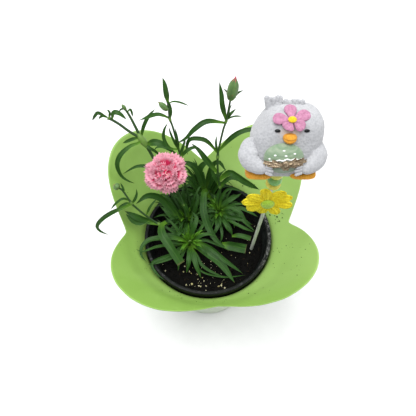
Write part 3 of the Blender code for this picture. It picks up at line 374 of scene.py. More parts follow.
# Smaller leaves of the stems, which the frame leaves out: width in mm, then the route.
SMALL_LEAVES = {
    "small_leaves_a": (
        (2.2, (127.5, 112, 190), (130.2, 109.5, 192), (131.8, 112, 190), (132.6, 117, 186)),
        (1.8, (127.6, 113, 189), (124, 109, 193), (121, 109.4, 193), (118.8, 112, 190)),
        (3.2, (139, 138, 168), (134, 138.6, 170), (129, 140.4, 169), (122.6, 143.2, 165)),
        (2.2, (108, 117.8, 186), (103.5, 116, 188.5), (100.5, 117, 187), (98.5, 119.5, 184)),
        (2.4, (109, 118, 186), (110, 113.5, 190), (108.6, 110.8, 192), (106.6, 109.6, 193)),
        (3.0, (144, 143, 163), (150, 148, 162), (155, 151, 159), (160, 155.5, 154)),
    ),
    "small_leaves_b": (
        (1.7, (168.2, 103.6, 211), (173.5, 101.6, 214), (180.6, 102.6, 213), (189.5, 106, 209)),
        (3.2, (179, 149.5, 167), (169.5, 148, 171), (164, 139, 179), (164.2, 130, 187), (168, 122.5, 193)),
        (2.6, (178.6, 150, 166), (174.5, 141.5, 176), (171, 134, 182), (168.6, 126.8, 188)),
        (2.2, (179, 151, 165.5), (177.6, 141, 177), (176.4, 134, 182), (174.8, 127.6, 187)),
        (3.0, (180, 156, 160), (182.8, 148, 168), (184.6, 142, 172), (184.6, 137, 175)),
        (2.6, (180, 157, 159), (171, 150.5, 166), (163, 147, 168), (156.6, 147.6, 166), (153.6, 152, 161)),
        (3.0, (169.8, 119.5, 196), (170.6, 112, 203), (169.6, 106, 208), (167.4, 98.5, 213)),
        (3.4, (180.4, 158, 158), (186.5, 151, 166), (193.5, 147.5, 168), (200, 148.6, 165)),
    ),
    "small_leaves_c": (
        (2.0, (230.6, 99.4, 212.6), (228.4, 94.2, 218), (226.2, 91.2, 220), (223.4, 88.6, 222)),
        (2.0, (230.8, 99.2, 212.8), (234, 96.6, 216), (238.4, 92.6, 218), (243.5, 90.2, 219)),
        (2.6, (226.8, 119, 193), (230, 114.5, 198), (233.2, 111.2, 200), (236, 108.8, 201.5)),
        (1.7, (226.6, 120.4, 192), (230.6, 117.6, 195), (236, 116.2, 195.5), (242.4, 116.4, 194)),
        (2.3, (218, 153.5, 159), (216.6, 148, 165), (216, 142, 170), (216.6, 135.6, 174)),
        (2.4, (226, 121, 191.5), (228.2, 113, 199), (229.4, 108.4, 202), (231.8, 104.6, 204.5)),
        (3.6, (219.8, 187, 122), (214, 176, 135), (212, 168, 141), (213.4, 161, 145)),
        (4.2, (219.8, 188, 121), (226.5, 180, 132), (233, 178, 134), (240, 182, 130)),
    ),
    "small_leaves_d": (
        (2.0, (124, 193, 147), (123.4, 189.4, 151), (122, 186, 153), (120.4, 183, 155)),
        (2.4, (146, 215.7, 126), (150, 207.5, 134), (153.4, 202.6, 137), (157.2, 198.4, 139)),
        (6.4, (157, 223.6, 117), (148, 221, 121), (136.5, 216.6, 127), (124.6, 211, 131)),
        (5.4, (150, 219.6, 121), (140, 222.4, 121), (133, 220.6, 124), (126, 214, 129)),
        (2.6, (131.6, 204, 138), (135, 199, 143), (136.6, 194, 146), (136.4, 189, 149)),
        (2.4, (131.4, 203.4, 138.6), (126.4, 203.4, 141), (121, 206.4, 140), (116, 211.4, 136)),
    ),
}

# Crowns at the soil. Each has its place, then the leaves that show well, and which of them were cut short.
# Then young leaves fill its middle and grown ones stand round it: how many, and for the grown ones their
# arc of directions in degrees, their reach in mm and their lift as a part of it.
CROWNS = {
    "rosette_front": {
        "crown": (190, 243, 96),
        "leaves": (
            (
                4.6, (190.6, 240, 99), (191, 234, 106), (194.6, 225.5, 114), (196.4, 217.5, 117),
                (192, 211.5, 118),
            ),
            (
                4.6, (191, 244, 99), (199.6, 243, 104), (211.6, 248.8, 108), (224, 259.6, 106),
                (243, 273.6, 97),
            ),
            (
                7.2, (191, 245, 98), (199, 248, 102), (211.6, 256.4, 104), (222.4, 265.5, 101),
                (234.8, 282.8, 93.6),
            ),
            (4.8, (190, 246, 98), (190, 253, 103), (188.7, 263, 102), (186.5, 273, 94)),
            (4.8, (191, 246, 98), (193, 254, 103), (196.5, 266, 101), (201.2, 278.2, 93)),
            (
                5.0, (189, 244, 98), (183, 240, 104), (171, 238, 109), (151.3, 239.3, 111),
                (142.5, 246, 109), (141.4, 255, 107.5), (147, 262.5, 107),
            ),
            (
                4.6, (189, 246, 98), (182, 250, 102), (173, 256, 104.5), (159, 261.5, 106.5),
                (147.5, 265, 107.5),
            ),
            (3.0, (191, 246, 98), (197, 256, 101), (201.4, 264.6, 99), (211, 271.6, 96), (224, 277, 93.5)),
            (
                3.2, (189, 246, 98), (170, 255, 106), (152, 263, 108.5), (157, 274, 107),
                (165.4, 280.6, 104.5),
            ),
            (3.6, (190, 244, 98), (180, 238, 106), (166, 234.5, 109), (152, 238, 106)),
            (2.8, (189, 244, 98), (160, 246, 106), (143, 251.5, 110), (136, 249.2, 112)),
            (3.4, (191, 243, 98), (201, 236, 106), (209, 234, 108), (217, 237, 105)),
            (2.6, (188, 241, 98), (180, 232, 107), (172, 223, 113), (164, 215.5, 116)),
            (2.6, (188, 242, 98), (176, 234, 107), (166, 227, 112), (157, 219.5, 114)),
            (2.6, (188, 244, 98), (176, 243, 104), (164, 240, 107), (153, 239, 107)),
            (1.9, (192, 250, 98), (196, 262, 99), (203, 272, 97), (225, 277, 95), (246, 275, 94)),
            (3.0, (192, 240, 98), (199, 231, 106), (204, 223, 110), (206, 215, 111)),
            (3.0, (192, 243, 98), (204, 240, 103), (214, 243, 103), (223, 248, 98)),
            (2.8, (188, 246, 98), (182, 255, 101), (179, 264, 99), (178, 271, 94)),
        ),
        "cut": (), "young": 23, "grown": 24, "arc": (20, 350), "reach": (12, 24), "lift": (0.3, 0.8),
        "seed": 3,
    },
    "rosette_middle": {
        "crown": (187, 218, 95),
        "leaves": (
            (
                8.0, (184, 224, 97), (179.5, 221, 103), (172, 210.5, 113), (161, 198, 125),
                (147.4, 195.6, 129), (136, 204, 125),
            ),
            (
                7.6, (166, 222, 112), (161.6, 226, 116), (162.6, 235, 118), (171, 248, 114),
                (181.3, 263.5, 106),
            ),
            (4.4, (186, 222, 97), (178, 213, 110), (171, 203, 119), (166, 195, 124)),
            (4.6, (184, 224, 97), (175, 220, 108), (167, 212, 115), (160, 206, 117)),
            (4.0, (189, 220, 97), (186, 208, 112), (180, 199, 120), (172, 195, 122)),
            (4.2, (190, 220, 97), (196, 208, 112), (198, 198, 119), (196, 190, 123)),
            (4.2, (186, 224, 97), (181, 230, 106), (177, 237, 107), (176, 245, 102)),
        ),
        "cut": (1,), "young": 12, "grown": 60, "arc": (-40, 300), "reach": (17, 30), "lift": (0.45, 1.0),
        "seed": 9,
    },
    "rosette_right": {
        "crown": (218, 211.5, 94),
        "leaves": (
            (4.8, (218, 210, 98), (223.6, 204, 104), (231.5, 199, 109), (241.4, 193.6, 110)),
            (4.8, (219, 211, 98), (226, 207, 105), (234, 208, 107), (241.4, 214.8, 106), (248, 226.4, 98)),
            (4.4, (219, 213, 98), (231, 217, 105), (242, 219.5, 105), (252.6, 225, 99)),
            (4.8, (219, 214, 98), (225, 221, 102), (230, 229, 100), (232.6, 236, 95)),
            (
                6.8, (210, 198, 104), (204.6, 190, 116), (203.4, 199, 118), (203.6, 212, 116),
                (208, 226, 109), (216, 240, 103), (229, 251, 96),
            ),
            (8.6, (222, 244, 98), (229, 245.4, 99.5), (237, 247, 99.5), (246, 249, 97.5)),
            (4.6, (232, 236, 95), (238, 235.6, 98), (244, 236.6, 98), (250.8, 238.6, 96)),
            (3.2, (219, 209, 99), (222, 196, 113), (230, 188.5, 119), (244, 191.5, 113)),
            (3.0, (218, 210, 99), (217, 198, 111), (221.5, 187.5, 119), (232, 186, 118)),
            (3.4, (220, 213, 98), (228, 212, 105), (236, 216, 105), (239, 224, 99)),
            (4.0, (222, 210, 98), (232, 208, 105), (243, 220, 105), (255, 231.5, 97)),
            (3.8, (224, 209, 98), (236, 207, 106), (248, 211, 106), (258, 217, 101)),
            (4.2, (219, 213, 98), (227, 211, 104), (233, 218, 103), (234.5, 228, 97)),
            (4.2, (218, 213, 98), (219, 222, 103), (216, 230, 102), (212, 237, 97)),
            (3.0, (219, 215, 98), (224, 222, 102), (227, 228, 101), (230, 233, 96)),
            (3.4, (217, 213, 98), (212, 222, 103), (206, 229, 102), (200, 233, 97)),
            (3.6, (221, 215, 98), (232, 222, 103), (244, 228, 102), (254, 232, 96)),
            (2.8, (218, 215, 98), (221, 227, 101), (222, 236, 99), (220, 244, 94)),
        ),
        "cut": (5, 6), "young": 18, "grown": 60, "arc": (-125, 215), "reach": (11, 23), "lift": (0.3, 0.9),
        "seed": 5,
    },
    "rosette_back": {
        "crown": (205, 199, 95),
        "leaves": (
            (7.4, (205, 196, 99), (203, 184, 112), (197, 170, 128), (187, 163, 137), (177, 165, 136)),
            (5.6, (206, 194, 100), (207.5, 182, 112), (212, 166, 133), (219, 162, 138), (226.4, 171.6, 131)),
            (7.6, (205, 196, 99), (202.5, 182, 114), (200, 170, 127), (206, 162.5, 135), (213, 163, 133)),
            (6.4, (204, 197, 98), (196, 186, 111), (189, 178, 119), (181, 176, 120)),
            (6.0, (207, 196, 99), (212, 184, 113), (216, 176, 121), (222, 172, 123)),
            (5.6, (204, 198, 98), (199, 190, 108), (192, 185, 113), (184, 186, 112)),
        ),
        "cut": (), "young": 6, "grown": 24, "arc": (10, 215), "reach": (15, 27), "lift": (0.9, 1.6),
        "seed": 11,
    },
}


def place(column, row, height_mm):
    """The point at this height that shows at this pixel of the photograph."""
    across = (column - VIEW_CENTRE_PIXEL) / VIEW_FOCAL_PIXELS
    down = (row - VIEW_CENTRE_PIXEL) / VIEW_FOCAL_PIXELS
    ray = VIEW_FORWARD + VIEW_RIGHT * across - VIEW_UP * down
    return VIEW_EYE + ray * ((height_mm * MM - VIEW_EYE.z) / ray.z)


def smooth_route(points, count):
    """This many points, evenly spaced, along a smooth curve through the given ones."""
    fine_steps = 12
    ends = [2 * points[0] - points[1], *points, 2 * points[-1] - points[-2]]
    fine = []
    for a, b, c, d in zip(ends, ends[1:], ends[2:], ends[3:]):
        for step in range(fine_steps):
            t = step / fine_steps
            curve = 2 * b + (c - a) * t + (2 * a - 5 * b + 4 * c - d) * t**2
            fine.append(0.5 * (curve + (3 * b - a - 3 * c + d) * t**3))
    fine.append(points[-1])
    lengths = [0.0]
    for first, second in zip(fine, fine[1:]):
        lengths.append(lengths[-1] + (second - first).length)
    route = []
    for index in range(count):
        wanted = lengths[-1] * index / (count - 1)
        after = next((i for i, length in enumerate(lengths) if length >= wanted and i > 0), len(fine) - 1)
        span = lengths[after] - lengths[after - 1]
        route.append(fine[after - 1].lerp(fine[after], (wanted - lengths[after - 1]) / span))
    return route


def smoothstep(low, high, value):
    """0 up to low, 1 from high, and eased between them."""
    part = max(0.0, min(1.0, (value - low) / (high - low)))
    return part * part * (3 - 2 * part)


def around(radius, angle, height=0.0):
    """The point at this distance from the Z axis, in this direction and at this height."""
    return Vector((radius * math.cos(angle), radius * math.sin(angle), height))


def turns(count):
    """This many directions, evenly spaced round a full turn."""
    return [FULL_TURN * index / count for index in range(count)]


def halfway(first, second):
    return [(a + b) / 2 for a, b in zip(first, second)]


# Materials. A shape's points carry two attributes: "marks", four numbers from 0 to 1 whose meaning its
# material explains, and "grain", a place along and across the piece in metres for fibres and veins.


class Look:
    """A node material with one Principled shader, and short ways to add nodes to it."""

    def __init__(self, name, roughness=0.5, shine=0.5, **constants):
        self.made = bpy.data.materials.new(name)
        self.made.use_nodes = True
        self.tree = self.made.node_tree
        self.shader = self.tree.nodes["Principled BSDF"]
        self.shader.inputs["Roughness"].default_value = roughness
        self.shader.inputs["Specular IOR Level"].default_value = shine
        for socket, value in constants.items():
            self.shader.inputs[socket.replace("_", " ")].default_value = value

    def node(self, kind, inputs=None, **settings):
        made = self.tree.nodes.new(kind)
        for name, value in settings.items():
            setattr(made, name, value)
        for name, value in (inputs or {}).items():
            self.feed(made.inputs[name], value)
        return made

    def feed(self, socket, value):
        """Links a socket to another node's output, or sets it to a number or colour."""
        if isinstance(value, bpy.types.NodeSocket):
            self.tree.links.new(value, socket)
        elif isinstance(value, tuple) and len(value) == 3 and socket.type == "RGBA":
            socket.default_value = (*value, 1)
        else:
            socket.default_value = value

    def set(self, name, value):
        self.feed(self.shader.inputs[name], value)

    def place(self, stretch=None):
        """Where a point is in the object, in metres, for textures that don't follow a fibre."""
        at = self.node("ShaderNodeTexCoord").outputs["Object"]
        return self.stretched(at, stretch) if stretch else at

    def stretched(self, at, stretch):
        return self.node("ShaderNodeMapping", {"Vector": at, "Scale": stretch}).outputs["Vector"]

    def grain(self, stretch):
        at = self.node("ShaderNodeAttribute", attribute_name="grain").outputs["Vector"]
        return self.stretched(at, stretch)

    def marks(self):
        at = self.node("ShaderNodeAttribute", attribute_name="marks")
        parts = self.node("ShaderNodeSeparateColor", {"Color": at.outputs["Color"]})
        return [parts.outputs["Red"], parts.outputs["Green"], parts.outputs["Blue"], at.outputs["Alpha"]]

    def axes(self):
        """The object's X, Y and Z at a point."""
        return self.node("ShaderNodeSeparateXYZ", {"Vector": self.place()}).outputs

    def math(self, operation, a, b=0.0, clamp=False):
        return self.node("ShaderNodeMath", {0: a, 1: b}, operation=operation, use_clamp=clamp).outputs[0]

    def weighted(self, *terms):
        """The sum of (value, weight) terms."""
        total = self.math("MULTIPLY", *terms[0])
        for value, weight in terms[1:]:
            total = self.math("ADD", total, self.math("MULTIPLY", value, weight))
        return total

    def noise(self, at, scale, detail=3.0, roughness=0.55, distortion=0.0):
        inputs = {
            "Vector": at, "Scale": scale, "Detail": detail, "Roughness": roughness, "Distortion": distortion,
        }
        return self.node("ShaderNodeTexNoise", inputs).outputs["Fac"]

    def cells(self, scale, output="Distance"):
        return self.node("ShaderNodeTexVoronoi", {"Vector": self.place(), "Scale": scale}).outputs[output]

    def span(self, value, low, high, to_low=0.0, to_high=1.0):
        """The value eased from one range to another and held at its ends."""
        inputs = {"Value": value, "From Min": low, "From Max": high, "To Min": to_low, "To Max": to_high}
        made = self.node("ShaderNodeMapRange", inputs, interpolation_type="SMOOTHSTEP")
        return made.outputs["Result"]

    def mix(self, factor, a, b):
        made = self.node("ShaderNodeMix", data_type="RGBA")
        for index, value in ((0, factor), (6, a), (7, b)):
            self.feed(made.inputs[index], value)
        return made.outputs[2]

    def paint(self, color, *layers):
        """Sets the colour: a first one, then layers (value, low, high, amount, colour) over it in turn.

        A layer shows from none at the low end of its value to the amount at the high end. A layer
        (amount, colour) shows by that amount.
        """
        for *reading, over in layers:
            amount = reading[0]
            if len(reading) > 1:
                value, low, high, most = reading
                amount = self.span(value, low, high, 0, most)
            color = self.mix(amount, color, over)
        self.set("Base Color", color)

    def bump(self, height, distance, strength=1.0):
        inputs = {"Height": height, "Distance": distance, "Strength": strength}
        self.set("Normal", self.node("ShaderNodeBump", inputs).outputs["Normal"])


def leaf_look(name, dark, light, roughness):
    """Marks: along the leaf, from its midrib to its edge, its own tone, and 1 on its underside."""
    look = Look(name, roughness, 0.2)
    along, across, tone, under = look.marks()
    fibres = look.noise(look.grain((1, 0.05, 1)), 2600, 3)
    mottle = look.noise(look.place(), 260, 3)
    look.paint(
        look.mix(look.weighted((tone, 0.75), (mottle, 0.25)), dark, light),
        (fibres, 0.38, 0.66, 0.5, light),
        (under, 0.2, 1, 0.3, (0.055, 0.12, 0.05)),
        (across, 0.16, 0.0, 0.4, (0.05, 0.13, 0.015)),
        (across, 0.86, 1.0, 0.25, (0.06, 0.14, 0.025)),
        (along, 0.34, 0.0, 0.75, (0.1, 0.23, 0.015)),
        (along, 0.955, 1.0, 0.6, (0.1, 0.075, 0.03)),
    )
    look.set("Roughness", look.span(mottle, 0.3, 0.7, roughness - 0.07, roughness + 0.1))
    ridges = look.math("SINE", look.math("MULTIPLY", across, 22))
    look.bump(look.weighted((fibres, 1), (ridges, 0.3)), 0.16 * MM, 0.7)
    return look.made


def stem_look():
    """Marks: unused, unused, the stem's tone, and how near a swollen node is."""
    look = Look("stem_skin", 0.5, 0.35)
    _, _, tone, near_node = look.marks()
    fibres = look.noise(look.grain((1, 0.06, 1)), 2200, 2)
    look.paint(
        look.mix(tone, (0.009, 0.033, 0.007), (0.028, 0.078, 0.015)),
        (fibres, 0.3, 0.75, 0.3, (0.05, 0.11, 0.03)),
        (near_node, 0.3, 1, 0.85, (0.15, 0.27, 0.05)),
    )
    look.bump(fibres, 0.15 * MM, 0.5)
    return look.made


def petal_look():
    """Marks: along the petal from its claw, unused, its tone, and its layer."""
    look = Look("petal_pink", 0.65, 0.2, Sheen_Weight=0.15, Sheen_Roughness=0.4)
    along, _, tone, layer = look.marks()
    veins = look.noise(look.grain((1, 0.05, 1)), 1300, 3, 0.6)
    blotches = look.noise(look.place(), 240, 3)
    deep = look.weighted((veins, 0.7), (blotches, 0.75), (layer, 0.1), (along, -0.62))
    look.paint(
        look.mix(tone, (0.43, 0.135, 0.185), (0.53, 0.215, 0.28)),
        (veins, 0.45, 0.65, 0.45, (0.5, 0.1, 0.17)),
        (deep, 0.22, 0.42, 0.95, (0.5, 0.012, 0.07)),
        (along, 0.72, 1.0, 0.55, (0.74, 0.37, 0.44)),
    )
    look.bump(veins, 0.25 * MM, 0.6)
    return look.made


def calyx_look():
    """Marks: along the bud, unused, its tone, and 1 where petals show at the tip or under a scale."""
    look = Look("calyx_skin", 0.5, 0.35)
    along, _, tone, petal = look.marks()
    ribs = look.noise(look.grain((1, 0.04, 1)), 1500, 2)
    mottle = look.noise(look.place(), 300, 3)
    look.paint(
        look.mix(tone, (0.045, 0.11, 0.03), (0.11, 0.2, 0.06)),
        (ribs, 0.35, 0.7, 0.4, (0.14, 0.25, 0.06)),
        (mottle, 0.45, 0.75, 0.4, (0.05, 0.1, 0.04)),
        (along, 0.12, 0.0, 0.6, (0.17, 0.26, 0.06)),
        (along, 0.78, 0.97, 0.45, (0.3, 0.12, 0.06)),
        (petal, (0.5, 0.08, 0.13)),
    )
    look.bump(ribs, 0.3 * MM, 0.6)
    return look.made


def plastic_film_look(name, color, painted_shade_color, roughness):
    """Thin film, faintly streaked, with painted light to the right and painted shade to the back left and
    front notch.
    """
    look = Look(name, roughness)
    broad = look.noise(look.place(), 16, 3, 0.5)
    fine = look.noise(look.place(), 900, 2, 0.5)
    drag = look.noise(look.place((1, 1, 0.25)), 90, 4, 0.6, 0.4)
    axes = look.axes()
    # Painted light and shade: lighter to the right and front, painted shade to the back left, more painted
    # shade at the front notch, and broad patches of painted light.
    lit = look.span(look.weighted((axes["X"], 0.8), (axes["Y"], -0.3)), -80 * MM, 75 * MM, 0, 0.75)
    lit = look.math("SUBTRACT", lit, look.span(axes["Y"], -50 * MM, -78 * MM, 0, 0.9))
    lit = look.math("ADD", lit, look.span(broad, 0.3, 0.75, 0, 0.25), True)
    streak = tuple(min(1, 1.25 * part) for part in color)
    look.paint(look.mix(lit, painted_shade_color, color), (drag, 0.55, 0.85, 0.16, streak))
    look.set("Roughness", look.span(drag, 0.3, 0.8, roughness - 0.06, roughness + 0.12))
    look.bump(look.weighted((drag, 0.6), (fine, 0.08)), 0.5 * MM, 0.35)
    return look.made


def pot_look():
    """Black plastic with grime, fine scratches, a painted edge highlight, and scuffs with painted light at
    its rim's right.
    """
    look = Look("pot_plastic", 0.5, 0.14)
    grime = look.noise(look.place(), 120, 5, 0.65)
    scratches = look.noise(look.place((1, 1, 7)), 420, 4, 0.7, 0.6)
    edge = look.node("ShaderNodeNewGeometry").outputs["Pointiness"]
    axes = look.axes()
    # Lighter grey on the right of the rim's top: real scuffs, and painted light on that side.
    right, high = look.span(axes["X"], 45 * MM, 52 * MM), look.span(axes["Z"], 101 * MM, 104 * MM)
    scuffs_and_painted_light = look.math("MULTIPLY", right, high)
    scuffs_and_painted_light = look.math("MULTIPLY", scuffs_and_painted_light, look.span(scratches, 0.48, 0.6, 0, 0.8))
    look.paint(
        look.mix(look.span(grime, 0.35, 0.75), (0.0016, 0.0024, 0.0018), (0.007, 0.0095, 0.0078)),
        (scratches, 0.54, 0.7, 0.5, (0.09, 0.09, 0.095)),
        # Painted highlight along the sharp edges.
        (edge, 0.53, 0.6, 0.12, (0.1, 0.1, 0.1)),
        (scuffs_and_painted_light, (0.15, 0.15, 0.145)),
    )
    look.set("Roughness", look.span(grime, 0.3, 0.8, 0.42, 0.7))
    look.bump(look.math("ADD", grime, scratches), 0.2 * MM, 0.3)
    return look.made


def soil_look():
    """Marks: unused, unused, the crumb's tone, and 1 on bark and fibre."""
    look = Look("potting_soil", 0.9, 0.08)
    _, _, tone, bark = look.marks()
    fine = look.noise(look.place(), 1400, 5, 0.7)
    look.paint(
        look.mix(tone, (0.0011, 0.0012, 0.001), (0.0052, 0.0048, 0.0036)),
        (fine, 0.5, 0.85, 0.5, (0.01, 0.0075, 0.005)),
        (bark, look.mix(fine, (0.012, 0.008, 0.005), (0.045, 0.028, 0.015))),
    )
    look.set("Roughness", look.span(fine, 0.3, 0.7, 0.7, 0.98))
    look.bump(fine, 0.6 * MM, 0.9)
    return look.made


def perlite_look():
    """Marks: unused, unused, the grain's tone, unused."""
    look = Look("perlite", 0.85, 0.2)
    pits = look.cells(2600)
    grain = look.mix(look.marks()[2], (0.3, 0.27, 0.1), (0.62, 0.6, 0.42))
    look.paint(grain, (pits, 0.35, 0.1, 0.5, (0.2, 0.17, 0.08)))
    look.bump(pits, 0.2 * MM, 0.7)
    return look.made


def cloth_look(name, dark, light, nap, relief, sheen, roughness=0.95, tint=None):
    """Felt or plush: short matted fibres. Marks: the first is how much of a tint shows."""
    look = Look(name, roughness, 0.1, Sheen_Weight=sheen, Sheen_Roughness=0.5)
    fibres = look.noise(look.place(), nap, 4, 0.7, 1.2)
    depth = look.weighted((fibres, 0.7), (look.cells(nap * 0.55), 0.4))
    layers = [(look.noise(look.place(), 110, 2), 0.35, 0.75, 0.25, dark)]
    if tint:
        layers.append((look.marks()[0], tint))
    look.paint(look.mix(look.span(depth, 0.25, 0.8), dark, light), *layers)
    look.bump(depth, relief * MM, 0.8)
    return look.made


def glitter_look(name, dark, light):
    """Ribbon with glitter: some flakes are bright, and each shines in its own way."""
    look = Look(name, 0.42, Metallic=0.35)
    flakes = look.node("ShaderNodeSeparateColor", {"Color": look.cells(2600, "Color")}).outputs
    folds = look.noise(look.place(), 500, 3)
    ribbon = look.mix(look.span(folds, 0.3, 0.7), dark, light)
    look.paint(ribbon, (flakes["Red"], 0.8, 0.95, 0.7, (0.62, 0.5, 0.34)))
    look.set("Roughness", look.span(flakes["Green"], 0.2, 0.9, 0.22, 0.6))
    look.bump(flakes["Blue"], 0.2 * MM, 0.5)
    return look.made


def painted_look(name, color, darker, roughness):
    look = Look(name, roughness)
    wood = look.noise(look.place((1, 1, 0.2)), 700, 4, 0.6)
    worn = look.noise(look.place(), 260, 3)
    look.paint(look.mix(look.span(wood, 0.35, 0.75), darker, color))
    look.set("Roughness", look.span(worn, 0.3, 0.7, roughness - 0.05, roughness + 0.14))
    look.bump(wood, 0.12 * MM, 0.35)
    return look.made


def stick_look():
    look = Look("stick_fibre", 0.62)
    fibres = look.noise(look.place((1, 1, 0.06)), 1500, 4, 0.6)
    stains = look.noise(look.place(), 90, 4, 0.6)
    whitish = look.mix(look.span(fibres, 0.3, 0.75), (0.38, 0.4, 0.34), (0.72, 0.73, 0.68))
    look.paint(whitish, (stains, 0.5, 0.8, 0.45, (0.3, 0.32, 0.26)))
    look.bump(fibres, 0.2 * MM, 0.5)
    return look.made


def eye_look(name):
    look = Look(name, 0.3, 0.2)
    look.paint(look.mix(look.noise(look.place(), 400), (0.002, 0.002, 0.0025), (0.01, 0.01, 0.012)))
    return look.made


def egg_look():
    """Marks: unused, unused, unused, and 1 on the lower half."""
    look = Look("egg_cloth", 0.8, Sheen_Weight=0.25)
    weave = look.noise(look.place(), 1900, 3, 0.6)
    streaks = look.span(look.noise(look.place((0.4, 0.4, 2.2)), 330, 3, 0.6, 0.5), 0.35, 0.7)
    top = look.mix(streaks, (0.16, 0.245, 0.145), (0.265, 0.33, 0.23))
    look.paint(top, (look.marks()[3], look.mix(streaks, (0.13, 0.2, 0.13), (0.28, 0.32, 0.26))))
    look.bump(weave, 0.2 * MM, 0.5)
    return look.made


def floor_look():
    look = Look("floor_paper", 0.85)
    fine = look.span(look.noise(look.place(), 60, 3), 0.3, 0.7)
    look.paint(look.mix(fine, (0.83, 0.83, 0.83), (0.85, 0.85, 0.85)))
    return look.made


# Shapes.


def joined(rows):
    return [at for row in rows for at in row]


def ring_faces(rows, count, closed=False):
    """Faces between rows of points that run round, and from the last row to the first if closed."""
    faces = []
    for row in range(rows if closed else rows - 1):
        after = ((row + 1) % rows - row) * count
        for i in range(count):
            a, b = row * count + i, row * count + (i + 1) % count
            faces.append((a, b, b + after, a + after))
    return faces


class Shape:
    """Gathers points and faces of one piece, with what its material reads at each point."""

    def __init__(self):
        self.points, self.faces, self.slots = [], [], []
        self.marks, self.grains = [], []

    def add(self, points, faces, marks=None, grains=None, slot=0):
        first = len(self.points)
        self.points.extend(points)
        self.marks.extend(marks or [(0, 0, 0, 0)] * len(points))
        self.grains.extend(grains or [(0, 0, 0)] * len(points))
        self.faces.extend(tuple(first + i for i in face) for face in faces)
        self.slots.extend([slot] * len(faces))

    def loft(self, rings, marks=None, grains=None, slot=0):
        """A closed tube through rings of equally many points, with flat ends."""
        count = len(rings[0])
        last = count * (len(rings) - 1)
        ends = [tuple(reversed(range(count))), tuple(range(last, last + count))]
        self.add(joined(rings), ring_faces(len(rings), count) + ends, marks, grains, slot)

    def ball(self, columns, rows, point):
        """A closed ball. The function point gives a place and its marks for each lift and turn."""
        rings, marks = [], []
        for row in range(rows + 1):
            lift = math.pi * (row + 0.02) / (rows + 0.04) - QUARTER_TURN
            found = [point(lift, turn) for turn in turns(columns)]
            rings.append([at for at, _ in found])
            marks += [mark for _, mark in found]
        self.loft(rings, marks)

    def sheet(self, rows, marks, grains):
        """An open sheet through rows of equally many points."""
        count = len(rows[0])
        faces = []
        for row in range(len(rows) - 1):
            for i in range(count - 1):
                a = row * count + i
                faces.append((a, a + 1, a + 1 + count, a + count))
        self.add(joined(rows), faces, marks, grains)

    def finish(self, name, looks, replaces, flat=False):
        """Makes the object, lets it ride on the frame, and hides the nodes that it stands for."""
        mesh = bpy.data.meshes.new(name)
        mesh.from_pydata(self.points, [], self.faces)
        for look in looks:
            mesh.materials.append(look)
        mesh.polygons.foreach_set("material_index", self.slots)
        marks = mesh.color_attributes.new("marks", "FLOAT_COLOR", "POINT")
        marks.data.foreach_set("color", joined(self.marks))
        grains = mesh.attributes.new("grain", "FLOAT_VECTOR", "POINT")
        grains.data.foreach_set("vector", joined(self.grains))
        bm = bmesh.new()
        bm.from_mesh(mesh)
        bmesh.ops.recalc_face_normals(bm, faces=bm.faces)
        bm.to_mesh(mesh)
        bm.free()
        if not flat:
            mesh.shade_smooth()
            mesh.set_sharp_from_angle(angle=SHARP_ANGLE)
        made = bpy.data.objects.new(name, mesh)
        bpy.context.collection.objects.link(made)
        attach(made, "root")
        if replaces:
            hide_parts(*replaces)
        return made


def thicken(made, thickness, side=0, look_step=0):
    """Gives a sheet its thickness, to both sides or with side -1 to its back, and its back another look."""
    modifier = made.modifiers.new("Thickness", "SOLIDIFY")
    modifier.thickness = thickness
    modifier.offset = side
    modifier.material_offset = look_step


def upright_at(origin, direction):
    """A matrix at this origin whose +Z points in this direction."""
    return Matrix.Translation(origin) @ direction.to_track_quat("Z", "Y").to_matrix().to_4x4()


def frame_along(route, index, face, before=None):
    """The way ahead, to the side and up at this point of a route whose face turns to the given way."""
    ahead = (route[min(len(route) - 1, index + 1)] - route[max(0, index - 1)]).normalized()
    side = ahead.cross(face)
    if side.length < 0.08 and before:
        side = before
    side = side.normalized()
    return ahead, side, side.cross(ahead)


def tube(shape, route, radii, tone, near_node=None, sides=12, slot=0):
    """A round tube of these radii along the route."""
    near_node = near_node or [0] * len(route)
    rings, marks, grains = [], [], []
    side, length = None, 0.0
    for index, (at, radius) in enumerate(zip(route, radii)):
        _, side, up = frame_along(route, index, TUBE_FACE, side)
        length += (at - route[max(0, index - 1)]).length
        rings.append([at + (side * math.cos(turn) + up * math.sin(turn)) * radius for turn in turns(sides)])
        marks += [(0, 0, tone, near_node[index])] * sides
        grains += [(radius * math.sin(turn / 2) * 4, length, tone) for turn in turns(sides)]
    shape.loft(rings, marks, grains, slot)


def turned(shape, profile, sides, matrix, closed=False):
    """The profile of (radius, height) turned about Z, with flat ends unless it closes on itself."""
    rings = [[matrix @ around(radius, turn, height) for turn in turns(sides)] for radius, height in profile]
    if closed:
        shape.add(joined(rings), ring_faces(len(rings), sides, True))
    else:
        shape.loft(rings)


def blade_width(along, cut):
    """A leaf's width along its length, as a part of its widest."""
    base = 0.45 + 0.55 * smoothstep(0, 0.4, along)
    if cut:
        return base
    return base * max(0.02, 1 - max(0, (along - 0.42) / 0.58) ** 2.5)


